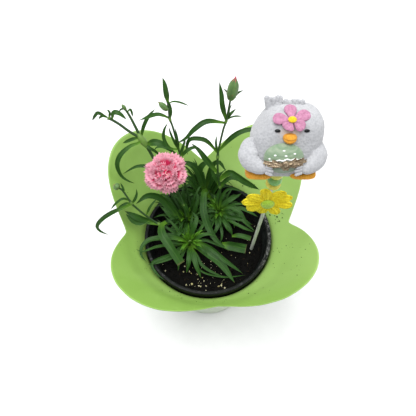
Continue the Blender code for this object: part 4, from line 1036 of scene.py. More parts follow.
def blade(shape, route, width, face, tone, cut=False, fold=0.3, twist=0.0, steps=BLADE_STEPS, slot=0):
    """A narrow leaf with a channel along its middle, a keel under it, thin edges and a fine point."""
    points = smooth_route(route, steps + 1)
    length = sum((b - a).length for a, b in zip(points, points[1:]))
    offset = 31.7 * tone
    columns = [(u, 0) for u in BLADE_COLUMNS] + [(u, 1) for u in reversed(BLADE_COLUMNS[1:-1])]
    rings, marks, grains = [], [], []
    side = None
    for index, at in enumerate(points):
        along = index / steps
        ahead, side, _ = frame_along(points, index, face, side)
        turn = twist * along + 0.12 * math.sin(5 * along + offset)
        leaning = Matrix.Rotation(turn, 3, ahead) @ side
        up = leaning.cross(ahead)
        half = width / 2 * blade_width(along, cut)
        depth = fold * half * (1.5 - along)
        ripple = 0.05 * width * math.sin(11 * along + offset)
        ring = []
        for u, under in columns:
            rise = depth * abs(u) ** 1.2 + ripple * u * abs(u)
            rise -= under * BLADE_THICKNESS * (1.25 - abs(u)) * (1.1 - 0.5 * along)
            ring.append(at + leaning * (u * half) + up * rise)
            marks.append((along, abs(u), tone, under))
            grains.append((u * half + offset, along * length, tone))
        rings.append(ring)
    shape.loft(rings, marks, grains, slot)


# Sleeve, pot and soil.


def sleeve_profile(distance):
    """Radius and height this far along the flare from the throat."""
    spread = (SLEEVE_FLARE_END - SLEEVE_FLARE_START) / SLEEVE_FLARE_LENGTH
    angle = SLEEVE_FLARE_START + spread * distance
    radius = SLEEVE_THROAT_RADIUS + (math.cos(SLEEVE_FLARE_START) - math.cos(angle)) / spread
    height = SLEEVE_THROAT_HEIGHT + (math.sin(angle) - math.sin(SLEEVE_FLARE_START)) / spread
    return radius, height


def sleeve_outline(angle):
    """How far along the flare the cut edge runs, in this direction."""
    quarter = (angle - SLEEVE_TURN) / QUARTER_TURN
    lobe = math.floor(quarter) % 4
    part = quarter - math.floor(quarter)
    notch = SLEEVE_NOTCHES[lobe] * (1 - part) + SLEEVE_NOTCHES[(lobe + 1) % 4] * part
    return notch + (SLEEVE_LOBES[lobe] - notch) * math.sin(math.pi * part) ** SLEEVE_LOBE_SHARPNESS


def flare_point(angle, distance):
    """A point of the sleeve's inner face this far along the flare, with the film's slow waves."""
    radius, height = sleeve_profile(distance)
    radius -= SLEEVE_HUG * (1 - smoothstep(0, SLEEVE_HUG_REACH, distance))
    outward = around(1, angle)
    wave = noise.noise(outward * 2.4 + Z_AXIS * (distance / (45 * MM)))
    wave += 0.4 * noise.noise(outward * 9 + Z_AXIS * (distance / (30 * MM)))
    wave *= SLEEVE_WAVE * distance / max(SLEEVE_LOBES)
    slope = (SLEEVE_FLARE_START + SLEEVE_FLARE_END) / 2
    lift = Z_AXIS * math.cos(slope) - outward * math.sin(slope)
    shift = SLEEVE_SHIFT * smoothstep(0, SLEEVE_SHIFT_REACH, distance)
    return outward * radius + Z_AXIS * height + shift + lift * wave


def wall_point(angle, part):
    """A point of the sleeve's inner wall, this far up it, with the pleats that a tapered bag has."""
    radius = SLEEVE_BASE_RADIUS - SLEEVE_THICKNESS
    radius += (SLEEVE_THROAT_RADIUS - radius) * part
    height = SLEEVE_THICKNESS + (SLEEVE_THROAT_HEIGHT - SLEEVE_THICKNESS) * part
    pleat = 0.5 + 0.5 * math.sin(SLEEVE_PLEATS * angle + 2.2 * noise.noise(around(2, angle)))
    radius += SLEEVE_PLEAT * pleat * math.sin(math.pi * part) ** 0.7
    radius -= SLEEVE_HUG * smoothstep(0.8, 1.0, part)
    return around(radius, angle, height)


def build_sleeve():
    """One sheet of film, green inside and whitish outside, closed at its base."""
    angles = [SLEEVE_TURN + turn for turn in turns(SLEEVE_SIDES)]
    foot = SLEEVE_BASE_RADIUS - SLEEVE_THICKNESS
    rows = [[around(foot * part, angle, SLEEVE_THICKNESS) for angle in angles] for part in SLEEVE_BASE_RINGS]
    for ring in range(1, SLEEVE_WALL_RINGS):
        rows.append([wall_point(angle, ring / SLEEVE_WALL_RINGS) for angle in angles])
    edge = [(angle, sleeve_outline(angle)) for angle in angles]
    for ring in range(SLEEVE_FLARE_RINGS + 1):
        rows.append([flare_point(angle, reach * ring / SLEEVE_FLARE_RINGS) for angle, reach in edge])
    shape = Shape()
    shape.add(joined(rows), [tuple(range(SLEEVE_SIDES)), *ring_faces(len(rows), SLEEVE_SIDES)])
    looks = [
        plastic_film_look("sleeve_inside", (0.32, 0.5, 0.135), (0.225, 0.39, 0.074), 0.5),
        plastic_film_look("sleeve_outside", (0.5, 0.57, 0.43), (0.42, 0.5, 0.36), 0.45),
    ]
    made = shape.finish("sleeve_film", looks, ("sleeve",))
    if made.data.polygons[0].normal.z < 0:
        made.data.flip_normals()
    thicken(made, SLEEVE_THICKNESS, -1, 1)


def pot_inner_radius(height):
    """The inside of the pot's tapered wall at this height."""
    low, high = POT_FLOOR, POT_TOP - POT_RIM_HEIGHT
    part = (height - low) / (high - low)
    return POT_FOOT_RADIUS + (POT_NECK_RADIUS - POT_FOOT_RADIUS) * part - POT_WALL


def rim_corner(radius, first):
    """A quarter of the rim's rounding as (radius, height), from this direction in degrees."""
    points = []
    for step in range(POT_RIM_STEPS + 1):
        at = around(POT_RIM_ROUNDING, math.radians(first + 90 * step / POT_RIM_STEPS))
        points.append((radius + at.x, POT_TOP - POT_RIM_ROUNDING + at.y))
    return points


def wall_heights(low, high):
    """The heights between a low and a high end of the pot's wall, where its profile has a point."""
    return [low + (high - low) * step / POT_WALL_STEPS for step in range(1, POT_WALL_STEPS)]


def pot_profile():
    """The pot's section as (radius, height): up its outside, over its rim and down its inside."""
    rim_under = POT_TOP - POT_RIM_HEIGHT
    rim_inner = POT_RIM_RADIUS - POT_RIM_WIDTH
    foot_inner = POT_FOOT_RADIUS - POT_FOOT_WIDTH
    return [
        (foot_inner, POT_FLOOR + 0.2 * MM),
        (foot_inner + 0.6 * MM, POT_FLOOR),
        (POT_FOOT_RADIUS - 0.8 * MM, POT_FLOOR),
        (POT_FOOT_RADIUS, POT_FLOOR + 0.8 * MM),
        *((pot_inner_radius(height) + POT_WALL, height) for height in wall_heights(POT_FLOOR, rim_under)),
        (POT_NECK_RADIUS, rim_under - 0.4 * MM),
        (POT_NECK_RADIUS + 0.4 * MM, rim_under),
        (POT_RIM_RADIUS - 0.9 * MM, rim_under),
        (POT_RIM_RADIUS - 0.5 * MM, rim_under + 0.5 * MM),
        *rim_corner(POT_RIM_RADIUS - POT_RIM_ROUNDING, 0),
        *rim_corner(rim_inner + POT_RIM_ROUNDING, 90),
        (rim_inner - 0.3 * MM, rim_under + 1.5 * MM),
        (pot_inner_radius(rim_under), rim_under),
        *((pot_inner_radius(height), height) for height in wall_heights(rim_under, POT_INSIDE_FLOOR)),
    ]


def circle(bm, radius, height, sides=POT_SIDES, centre=(0, 0)):
    """A ring of points and the edges between them, for a plate's outline or a hole in it."""
    verts = []
    for turn in turns(sides):
        x, y = centre[0] + radius * math.cos(turn), centre[1] + radius * math.sin(turn)
        verts.append(bm.verts.new((x, y, height)))
    return verts, [bm.edges.new((verts[i], verts[(i + 1) % sides])) for i in range(sides)]


def join_rings(bm, first, second):
    for i in range(len(first)):
        j = (i + 1) % len(first)
        bm.faces.new((first[i], first[j], second[j], second[i]))


def build_pot():
    """The nursery pot: a tapered wall, a rolled rim, a foot ring and drain holes through its bottom."""
    bm = bmesh.new()
    rings = [circle(bm, radius, height)[0] for radius, height in pot_profile()]
    for first, second in zip(rings, rings[1:]):
        join_rings(bm, first, second)
    plate_under = POT_FLOOR + POT_BOTTOM_LIFT
    under, under_edges = circle(bm, POT_FOOT_RADIUS - POT_FOOT_WIDTH - POT_BOTTOM_LIFT, plate_under)
    over, over_edges = circle(bm, pot_inner_radius(POT_INSIDE_FLOOR), POT_INSIDE_FLOOR)
    join_rings(bm, under, rings[0])
    join_rings(bm, rings[-1], over)
    for turn in turns(DRAIN_HOLE_COUNT):
        centre = (DRAIN_HOLE_RING * math.cos(turn), DRAIN_HOLE_RING * math.sin(turn))
        low, low_edges = circle(bm, DRAIN_HOLE_RADIUS, plate_under, DRAIN_HOLE_SIDES, centre)
        high, high_edges = circle(bm, DRAIN_HOLE_RADIUS, POT_INSIDE_FLOOR, DRAIN_HOLE_SIDES, centre)
        join_rings(bm, low, high)
        under_edges += low_edges
        over_edges += high_edges
    bmesh.ops.triangle_fill(bm, edges=under_edges, use_beauty=True)
    bmesh.ops.triangle_fill(bm, edges=over_edges, use_beauty=True)
    bmesh.ops.recalc_face_normals(bm, faces=bm.faces)
    bm.verts.index_update()
    points = [vert.co.copy() for vert in bm.verts]
    faces = [tuple(vert.index for vert in face.verts) for face in bm.faces]
    bm.free()
    shape = Shape()
    shape.add(points, faces)
    shape.finish("nursery_pot", [pot_look()], ("pot",))


def soil_height(x, y):
    """The soil's uneven top."""
    relief = noise.fractal(Vector((x, y, 0)) / (9 * MM), 0.9, 2.1, 5)
    return SOIL_TOP + SOIL_RELIEF * (0.45 * relief - 0.25)


SOIL_RIM_RADIUS = pot_inner_radius(SOIL_TOP) - SOIL_CLEARANCE


def soil_spot(rng, share):
    """A random place (x, y) on the soil, within this share of its rim."""
    return around(SOIL_RIM_RADIUS * math.sqrt(rng.random()) * share, rng.uniform(0, FULL_TURN)).xy


def crumb_corners():
    """The 12 corners of an icosahedron."""
    golden = (1 + math.sqrt(5)) / 2
    corners = []
    for a in (-1, 1):
        for b in (-golden, golden):
            corners += [Vector((0, a, b)), Vector((a, b, 0)), Vector((b, 0, a))]
    return corners


def crumb_faces(corners):
    """The 20 triangles of the icosahedron. Its edges are 2 long."""
    faces = []
    near = [[j for j in range(12) if j != i and (corners[i] - corners[j]).length < 2.1] for i in range(12)]
    for i in range(12):
        for j in near[i]:
            for k in near[j]:
                if i < j < k and k in near[i]:
                    out = (corners[j] - corners[i]).cross(corners[k] - corners[i]).dot(corners[i])
                    faces.append((i, j, k) if out > 0 else (i, k, j))
    return faces


CRUMB_CORNERS = crumb_corners()
CRUMB_FACES = crumb_faces(CRUMB_CORNERS)


def add_crumb(shape, centre, size, rng, squash=1.0):
    """A small broken lump: an icosahedron with its corners pushed about."""
    tone, angle = rng.random(), rng.uniform(0, FULL_TURN)
    turn = Matrix.Rotation(angle, 3, Vector((rng.random(), rng.random(), rng.random() + 0.01)))
    stretch = Vector((rng.uniform(0.7, 1.3), rng.uniform(0.6, 1.1), rng.uniform(0.5, 1.0) * squash))
    points = []
    for corner in CRUMB_CORNERS:
        at = corner.normalized() * rng.uniform(0.7, 1.15)
        points.append(centre + turn @ (at * stretch) * size)
    shape.add(points, CRUMB_FACES, [(0, 0, tone, 0)] * len(points))


def add_soil_crumb(shape, spot, rng, small_share, small, large, lift):
    """A crumb on the soil, lifted by this part of its size."""
    size = rng.uniform(*(small if rng.random() < small_share else large)) * MM
    add_crumb(shape, Vector((*spot, soil_height(*spot) + lift * size)), size, rng)


def add_sliver(shape, rng):
    """A splinter of bark or a fibre that lies on the soil."""
    spot = soil_spot(rng, 0.95)
    heading = rng.uniform(0, FULL_TURN)
    reach = rng.uniform(1, 3.2) * MM
    away = around(1, heading, rng.uniform(-0.1, 0.35)) * reach
    start = Vector((*spot, soil_height(*spot) + 0.4 * MM))
    route = [start, start + away * 0.5 + Z_AXIS * rng.uniform(0, 0.3) * MM, start + away]
    tube(shape, route, [0.22 * MM, 0.28 * MM, 0.12 * MM], rng.random(), [1, 1, 1], 5)


def build_soil():
    """Dark potting mix: an uneven top with crumbs, pale perlite grains and slivers of bark on it."""
    rng = random.Random(21)
    shape = Shape()
    floor = POT_INSIDE_FLOOR + SOIL_CLEARANCE
    rows = [[around(pot_inner_radius(floor) - SOIL_CLEARANCE, turn, floor) for turn in turns(SOIL_SIDES)]]
    for step in range(SOIL_RINGS):
        row = [around(SOIL_RIM_RADIUS * (1 - step / SOIL_RINGS), turn) for turn in turns(SOIL_SIDES)]
        for at in row:
            at.z = soil_height(at.x, at.y)
        rows.append(row)
    shape.loft(rows, [(0, 0, 0.3, 0)] * (SOIL_SIDES * len(rows)))
    for _ in range(SOIL_CRUMBS):
        add_soil_crumb(shape, soil_spot(rng, 0.985), rng, *SOIL_CRUMB_FORM)
    for _ in range(SOIL_SLIVERS):
        add_sliver(shape, rng)
    shape.finish("potting_mix", [soil_look()], ("soil",))
    build_perlite(rng)


def build_perlite(rng):
    """Pale grains, most of them in one heap."""
    grains = Shape()
    for _ in range(PERLITE_TRIES):
        spot = soil_spot(rng, 0.97)
        away = (spot - PERLITE_HEAP).length / PERLITE_HEAP_RADIUS
        if rng.random() <= PERLITE_STRAYS + math.exp(-away * away):
            add_soil_crumb(grains, spot, rng, *PERLITE_FORM)
    grains.finish("perlite_grains", [perlite_look()], (), True)


def build_spilt_soil():
    """A few crumbs of soil that fell on the sleeve."""
    rng = random.Random(8)
    shape = Shape()
    for first, last, near, far, count, largest in SPILLS:
        for _ in range(count):
            angle = math.radians(rng.uniform(first, last))
            distance = min(rng.uniform(near, far) * MM, sleeve_outline(angle) - SPILL_EDGE_GAP)
            size = rng.uniform(SPILL_SMALLEST, largest) * MM
            add_crumb(shape, flare_point(angle, distance) + Z_AXIS * 0.5 * size, size, rng, 0.8)
    shape.finish("spilt_soil", [soil_look()], ())


# Plant.


def stem_shape(name):
    """The stem's route, its radius at each point and how near a swollen node is there."""
    pixels = STEM_ROUTES[name]
    points = [place(*pixel) for pixel in pixels]
    nodes = [point for point, pixel in zip(points, pixels) if pixel[1] in STEM_NODE_ROWS[name]]
    if name == "stem_flower":
        points.append(flower_frame() @ Vector((0, 0, CALYX_FOOT)))
    if name != "stem_a_side":
        points.insert(0, points[0] - Z_AXIS * STEM_ROOT_DEPTH)
    count = STEM_STEPS * len(points)
    route = smooth_route(points, count)
    radii, near_node = [], []
    for index, at in enumerate(route):
        radius = STEM_RADIUS * STEM_STOUTNESS.get(name, 1) * (1 - STEM_TAPER * index / count)
        close = max(0, 1 - min([(at - node).length for node in nodes], default=1) / STEM_SWELL_REACH)
        radii.append(radius * (1 + (STEM_SWELL - 1) * close**1.4))
        near_node.append(close)
    return route, radii, near_node


def build_stems(looks):
    for name in STEM_ROUTES:
        shape = Shape()
        route, radii, near_node = stem_shape(name)
        tube(shape, route, radii, 0.4 + 0.1 * len(name) % 0.3, near_node)
        if name == "stem_a":
            sheath = smooth_route([place(*pixel) for pixel in THICK_NODE], THICK_NODE_STEPS)
            bulge = [math.sin(0.5 + 2.3 * i / (THICK_NODE_STEPS - 1)) for i in range(THICK_NODE_STEPS)]
            tube(shape, sheath, [THICK_NODE_RADIUS * part for part in bulge], 0.7, [1] * THICK_NODE_STEPS)
        shape.finish(name + "_stalk", [looks["stem"]], (name,))


def add_pixel_blade(shape, width, pixels, rng, cut=False):
    """A leaf whose route is read off the photograph, its face turned to the viewer or the sky."""
    sway = Vector((rng.uniform(-0.35, 0.35), rng.uniform(-0.3, 0.2), rng.uniform(-0.1, 0.3)))
    face = (sway - VIEW_FORWARD).normalized()
    tone, twist = rng.uniform(0.08, 0.5), rng.uniform(-0.35, 0.35)
    blade(shape, [place(*pixel) for pixel in pixels], width * MM, face, tone, cut, 0.32, twist)


def build_leaves(looks):
    rng = random.Random(4)
    for name, (width, *pixels) in LEAVES.items():
        shape = Shape()
        add_pixel_blade(shape, width, pixels, rng)
        shape.finish(name + "_blade", [looks["leaf"]], (name,))
    for name, leaves in SMALL_LEAVES.items():
        shape = Shape()
        for width, *pixels in leaves:
            add_pixel_blade(shape, width, pixels, rng)
        shape.finish(name, [looks["leaf"]], ())


def crown_leaf(foot, angle, reach, lift, droop, rng):
    """The route of a leaf that rises out of the crown, arches over and dips at its tip."""
    outward = around(1, angle)
    across = Vector((-outward.y, outward.x, 0)) * rng.uniform(-0.12, 0.12) * reach
    points = []
    for part in (0.0, 0.18, 0.45, 0.75, 1.0):
        rise = lift * math.sin(part * droop) / math.sin(min(droop, QUARTER_TURN))
        points.append(foot + outward * (reach * part) + across * part**2 + Z_AXIS * rise)
    return points


def add_grown_leaf(shape, layout, index, crown, rng):
    """One of the grown leaves, which stand in the crown's arc and lean out."""
    low, high = layout["arc"]
    share = (index + 0.5) / layout["grown"]
    angle = math.radians(low + (high - low) * (share * 5 % 1) + rng.uniform(-16, 16))
    reach = rng.uniform(*layout["reach"]) * MM
    lift = reach * rng.uniform(*layout["lift"])
    foot = crown + around(1, angle) * rng.uniform(0, 5) * MM - Z_AXIS * 3 * MM
    foot.z = max(foot.z, SOIL_TOP)
    route = crown_leaf(foot, angle, reach, lift, rng.uniform(1.7, 2.5), rng)
    face = (Z_AXIS + Vector((rng.uniform(-0.4, 0.4), rng.uniform(-0.6, 0.1), 0))).normalized()
    width = rng.uniform(2.1, 3.6) * MM
    blade(shape, route, width, face, rng.uniform(0, 0.45), False, 0.35, rng.uniform(-0.5, 0.5), 14)


def add_young_leaf(shape, layout, index, crown, rng):
    """One of the young leaves in the crown's middle. The older ones reach farther out."""
    angle = YOUNG_LEAF_TURN * index + rng.uniform(-0.3, 0.3)
    age = index / layout["young"]
    reach = (4 + 13 * age) * MM * rng.uniform(0.85, 1.1)
    lift = (14 - 4 * age) * MM * rng.uniform(0.8, 1.1)
    outward = around(1, angle)
    route = crown_leaf(crown + outward * (0.8 + age) * MM, angle, reach, lift, 1.5 + 0.5 * age, rng)
    face = (Z_AXIS - outward).normalized()
    width = (1.9 + 1.1 * age) * MM
    blade(shape, route, width, face, 1.0 - 0.45 * age, False, 0.45, rng.uniform(-0.3, 0.3), 12, 1)


def build_crowns(looks):
    """The tufts of leaves at the soil: those that show, grown ones round them, young ones in the middle."""
    for name, layout in CROWNS.items():
        rng = random.Random(layout["seed"])
        crown = place(*layout["crown"])
        shape = Shape()
        for index, (width, *pixels) in enumerate(layout["leaves"]):
            add_pixel_blade(shape, width, pixels, rng, index in layout["cut"])
        for index in range(layout["grown"]):
            add_grown_leaf(shape, layout, index, crown, rng)
        for index in range(layout["young"]):
            add_young_leaf(shape, layout, index, crown, rng)
        heart = [Vector((crown.x, crown.y, SOIL_TOP - 1 * MM)), crown, crown + Z_AXIS * 4 * MM]
        tube(shape, heart, [2.6 * MM, 2.2 * MM, 1.2 * MM], 0.5, [1, 1, 1], 12, 2)
        shape.finish(name + "_tuft", [looks["leaf"], looks["young"], looks["stem"]], (name,))


def calyx_body(shape, matrix, length, steps, girth, section):
    """A calyx along the matrix's +Z. The function section gives its radius and marks at (along, angle)."""
    rings, marks, grains = [], [], []
    for step in range(steps + 1):
        along = step / steps
        ring = []
        for angle in turns(BUD_SIDES):
            radius, mark = section(along, angle)
            ring.append(matrix @ around(radius, angle, along * length))
            marks.append(mark)
            grains.append((angle * girth, along * length, 0))
        rings.append(ring)
    shape.loft(rings, marks, grains)


def build_bud(name, base, tip, width, looks):
    """A closed calyx with five ribs and pointed teeth, petals' tips in a fat one, and scales at its foot."""
    shape = Shape()
    length, half = (tip - base).length, width / 2
    matrix = upright_at(base, tip - base)
    petals_show = width > 8 * MM
    tooth_low = 0.78 if petals_show else 0.9

    def section(along, angle):
        fat = math.sin(math.pi * min(1, 0.1 + 0.9 * along) ** 0.85) ** 0.62
        taper = 1 - 0.55 * smoothstep(0.62, 1.0, along)
        radius = half * max(0.1, fat) * taper * (1 + 0.035 * math.cos(BUD_RIBS * angle))
        tooth = tooth_low + 0.14 * abs(math.sin(BUD_RIBS / 2 * angle)) ** 0.8
        inside = 1.0 if petals_show and along > tooth else 0.0
        radius = max(radius * (0.9 if inside else 1.0), 0.08 * MM)
        return radius, (along, 0, 0.55 + 0.25 * math.cos(BUD_RIBS * angle), inside)

    calyx_body(shape, matrix, length, BUD_STEPS, half, section)
    for index in range(BUD_SCALES):
        angle = FULL_TURN * (index + 0.5) / BUD_SCALES
        route = [matrix @ Vector((0, 0, -0.4 * MM))]
        route += [matrix @ around(away * half, angle, high * length) for away, high in BUD_SCALE_ROUTE]
        blade(shape, route, 0.75 * width, matrix.to_3x3() @ around(1, angle), 0.45, False, -0.5, 0, 10)
    shape.finish(name + "_calyx", [looks["calyx"]], (name,))


def build_buds(looks):
    for name, (start, tip, width) in BUDS.items():
        build_bud(name, place(*start), place(*tip), width * MM, looks)


def flower_frame():
    """The flower's matrix: its own +Z is the way that it faces."""
    return Matrix.Translation(place(*FLOWER_PLACE)) @ Matrix.Rotation(FLOWER_TILT, 4, "X")


def petal(shape, matrix, angle, form, layer, rng):
    """One petal: a narrow claw that widens to a ruffled fan with a sawn edge."""
    inner, outer, low, high = form.inner * MM, form.outer * MM, form.low * MM, form.high * MM
    spread = math.radians(form.spread)
    columns = 2 * PETAL_TEETH
    phase, second = rng.uniform(0, FULL_TURN), rng.uniform(0, FULL_TURN)
    tone = rng.random()
    lengths = [rng.uniform(0.3, 1.2) for _ in range(PETAL_TEETH + 1)]
    dips = [rng.uniform(0.2, 1.0) for _ in range(PETAL_TEETH + 1)]
    lean = rng.uniform(-1.6, 1.6) * MM
    sheet, marks, grains = [], [], []
    for row in range(PETAL_ROWS + 1):
        along = row / PETAL_ROWS
        line = []
        for column in range(columns + 1):
            across = 2 * column / columns - 1
            fan = spread * (0.25 + 0.75 * smoothstep(0, 0.6, along))
            corner = 1 - 0.2 * along * abs(across) ** 3
            tooth = 1.5 * MM * lengths[column // 2] if column % 2 else -1.1 * MM * dips[column // 2]
            reach = inner + (outer * corner - inner) * along + tooth * smoothstep(0.84, 1, along)
            bend = math.sin(1.7 * math.pi * across + phase) + 0.4 * math.sin(4.3 * math.pi * across + second)
            turn = angle + fan * across + 0.09 * along * math.sin(3 * across + second)
            height = low + (high - low) * along**1.3 + lean * along * across
            height += (form.ruffle * along**1.6 * bend - form.curl * along**4) * MM
            line.append(matrix @ around(reach, turn, height))
            marks.append((along, 0, tone, layer))
            grains.append((across * spread * outer + 3.1 * tone, along * outer, tone))
        sheet.append(line)
    shape.sheet(sheet, marks, grains)


def build_petals(matrix, look):
    """The petals, a little apart in size, height and place, so that no two are alike."""
    rng = random.Random(14)
    for depth, (name, layers) in enumerate(PETAL_LAYERS.items()):
        shape = Shape()
        for layer in layers:
            start = rng.uniform(0, FULL_TURN)
            for index in range(layer.count):
                angle = start + FULL_TURN * index / layer.count + rng.uniform(-0.2, 0.2)
                outer = layer.outer * rng.uniform(0.89, 1.07)
                low, high = layer.low + 0.12 * (index % 2), layer.high + rng.uniform(-0.7, 0.7)
                slide = Vector((rng.uniform(-1, 1), rng.uniform(-1, 1), 0)) * (0.4 + 1.1 * depth) * MM
                form = layer._replace(outer=outer, low=low, high=high)
                petal(shape, matrix @ Matrix.Translation(slide), angle, form, depth / 2, rng)
        thicken(shape.finish(name + "_ruffled", [look], (name,)), PETAL_THICKNESS)


def build_styles(matrix, look):
    """Two curled styles in the flower's heart."""
    shape = Shape()
    for side in (-1, 1):
        points = []
        for step in range(9):
            turn = side * (0.6 + 0.55 * step) + 0.8
            height = (0.5 + 0.95 * step - 0.05 * step**2) * MM
            points.append(matrix @ (STYLES_MIDDLE + around((0.4 + 0.2 * step) * MM, turn, height)))
        radii = [STYLE_RADIUS * (1 - 0.5 * i / (STYLE_STEPS - 1)) for i in range(STYLE_STEPS)]
        tube(shape, smooth_route(points, STYLE_STEPS), radii, 0.5, None, 8)
    shape.finish("styles", [look], ())


def add_calyx_leaves(shape, matrix, route, width, tone, steps):
    """Five short leaves round the calyx. Their route is (distance from its axis, height) in mm."""
    for turn in turns(CALYX_TEETH):
        points = [matrix @ around(away * MM, turn, height * MM) for away, height in route]
        out = matrix.to_3x3() @ around(1, turn)
        blade(shape, points, width * MM, out, tone, False, -0.4, 0, steps)


def build_calyx(matrix, look):
    """The flower's calyx, with teeth at its top and scales round its foot."""

    def section(along, angle):
        radius = (1.2 + 3.4 * smoothstep(0, 0.5, along) + 0.5 * along) * MM
        return radius * (1 + 0.04 * math.cos(10 * angle)), (0.12 + 0.6 * along, 0, 0.5, 0)

    shape = Shape()
    seat = matrix @ Matrix.Translation((0, 0, CALYX_FOOT))
    calyx_body(shape, seat, CALYX_TOP - CALYX_FOOT, CALYX_STEPS, 4 * MM, section)
    add_calyx_leaves(shape, seat, CALYX_TOOTH_ROUTE, 4.6, 0.5, 8)
    add_calyx_leaves(shape, seat, CALYX_SCALE_ROUTE, 4.4, 0.4, 10)
    shape.finish("flower_calyx", [look], ("calyx",))


def build_flower(looks):
    matrix = flower_frame()
    build_petals(matrix, looks["petal"])
    build_styles(matrix, looks["style"])
    build_calyx(matrix, looks["calyx"])


# Pick.


def stick_point(height):
    """The point on the stick's axis at this height."""
    return place(*STICK_SOIL_POINT) + STICK_LEAN * (height - STICK_SOIL_POINT[2] * MM)


def build_stick():
    shape = Shape()
    bottom, top = stick_point(STICK_BOTTOM), stick_point(STICK_TOP)
    length = (top - bottom).length
    profile = [(STICK_RADIUS - STICK_BEVEL, 0), (STICK_RADIUS, STICK_BEVEL)]
    profile += [(STICK_RADIUS, length * step / STICK_STEPS) for step in range(1, STICK_STEPS)]
    profile += [(STICK_RADIUS, length - STICK_BEVEL), (STICK_RADIUS - STICK_BEVEL, length)]
    turned(shape, profile, STICK_SIDES, upright_at(bottom, STICK_LEAN))
    shape.finish("pick_stick", [stick_look()], ("stick",))


def build_beads():
    inner = STICK_RADIUS + BEAD_PLAY
    for name, low, tall, wide, color, darker, roughness, slot in BEADS:
        shape = Shape()
        profile = []
        for step in range(BEAD_STEPS + 1):
            angle = math.pi * step / BEAD_STEPS - QUARTER_TURN
            radius = max(inner, wide * MM * math.cos(angle) ** 0.8)
            profile.append((radius, tall * MM * (0.5 + 0.5 * math.sin(angle))))
        profile += [(inner, tall * MM), (inner, 0)]
        turned(shape, profile, BEAD_SIDES, upright_at(stick_point(low * MM), STICK_LEAN), True)
        look = painted_look(f"bead_{name.removesuffix('_bead')}_paint", color, darker, roughness)
        shape.finish(name + "_turned", [look], (name,))


def puffy_petal(shape, matrix, length, width, thick, notch=0.0, grooves=1):
    """A stuffed felt petal along the matrix's own +X, with grooves along it that notch its tip."""
    rings = []
    for row in range(PUFFY_PETAL_ROWS + 1):
        along = row / PUFFY_PETAL_ROWS
        rounding = math.sqrt(max(0, 1 - max(0, (along - 0.62) / 0.38) ** 2.6))
        half = width / 2 * (0.34 + 0.66 * smoothstep(0, 0.62, along)) * rounding
        half = max(half, 0.02 * width)
        body = thick / 2 * (0.55 + 0.45 * math.sin(math.pi * min(1, along * 1.05)) ** 0.5)
        body *= 1 - 0.5 * smoothstep(0.8, 1, along)
        ring = []
        for turn in turns(PUFFY_PETAL_SIDES):
            u, v = math.cos(turn), math.sin(turn)
            lobe, depth = math.exp(-((u / 0.28) ** 2)), 0.5
            if grooves > 1:
                lobe, depth = 0.5 + 0.5 * math.cos(math.pi * grooves * u), 0.62
            groove = 1 - depth * lobe * smoothstep(0.1, 0.4, along)
            tip = notch * lobe * smoothstep(0.72, 1, along) * (1 - 0.4 * abs(u))
            x = PUFFY_PETAL_START + (length - PUFFY_PETAL_START) * along - tip
            fuzz = 0.12 * MM * noise.noise(Vector((x, u * half, v * thick)) / (0.7 * MM))
            rise = math.copysign(abs(v) ** 0.75, v) * body * groove
            ring.append(matrix @ Vector((x, u * half, rise + fuzz)))
        rings.append(ring)
    shape.loft(rings)


def build_felt_flower():
    """Nine stuffed yellow petals that stand upright on the stick, and a green button in front of them."""
    rng = random.Random(6)
    facing = Matrix.Rotation(QUARTER_TURN, 4, "X")
    centre = stick_point(FELT_FLOWER_HEIGHT)
    matrix = Matrix.Translation(centre) @ facing @ Matrix.Diagonal((1, FELT_FLOWER_OVAL, 1, 1))
    shape = Shape()
    for index in range(FELT_PETALS):
        turn = Matrix.Rotation(FULL_TURN * (index + 0.5) / FELT_PETALS + rng.uniform(-0.06, 0.06), 4, "Z")
        tilt = Matrix.Rotation(rng.uniform(-0.2, 0.0), 4, "Y")
        tilt @= Matrix.Rotation(rng.uniform(-0.3, 0.3), 4, "X")
        length = FELT_FLOWER_RADIUS * rng.uniform(0.94, 1.03)
        form = (FELT_PETAL_WIDTH, FELT_FLOWER_THICKNESS, FELT_PETAL_NOTCH)
        puffy_petal(shape, matrix @ turn @ tilt, length, *form, FELT_PETAL_GROOVES)
    yellow = cloth_look("felt_yellow", (0.62, 0.47, 0.012), (0.9, 0.8, 0.045), 1500, 0.35, 0.05)
    shape.finish("felt_flower_petals", [yellow], ("felt_flower",))
    button = Shape()
    front = Matrix.Translation(centre - Vector((0, FELT_FLOWER_THICKNESS / 2 - BUTTON_EDGE, 0))) @ facing
    profile = [(0.3 * MM, 0)]
    for step in range(BUTTON_STEPS):
        angle = QUARTER_TURN * step / BUTTON_STEPS
        radius = BUTTON_RADIUS * math.cos(angle) ** 0.6
        profile.append((radius, BUTTON_EDGE + BUTTON_HEIGHT * math.sin(angle)))
    turned(button, [*profile, (0.3 * MM, BUTTON_EDGE + BUTTON_HEIGHT)], 40, front)
    green = cloth_look("button_green", (0.24, 0.42, 0.02), (0.42, 0.62, 0.08), 1700, 0.3, 0.3)
    button.finish("felt_flower_middle_button", [green], ("felt_flower_button",))


# The chick. Its pieces are placed in mm in its own frame.


def chick_frame():
    """The chick's matrix: +Z up its back and -Y the way that its belly faces."""
    return Matrix.Translation(place(*CHICK_PLACE)) @ Matrix.Rotation(CHICK_LEAN_BACK, 4, "X")


def body_front(x, z):
    """The y of the front of the plush body over this (x, z)."""
    across = x - BODY_OFFSET - BODY_SWAY * z
    rest = 1 - abs(across / BODY_RADII[0]) ** BODY_POWER - abs(z / BODY_RADII[2]) ** BODY_POWER
    return -BODY_RADII[1] * max(0, rest) ** (1 / BODY_POWER)


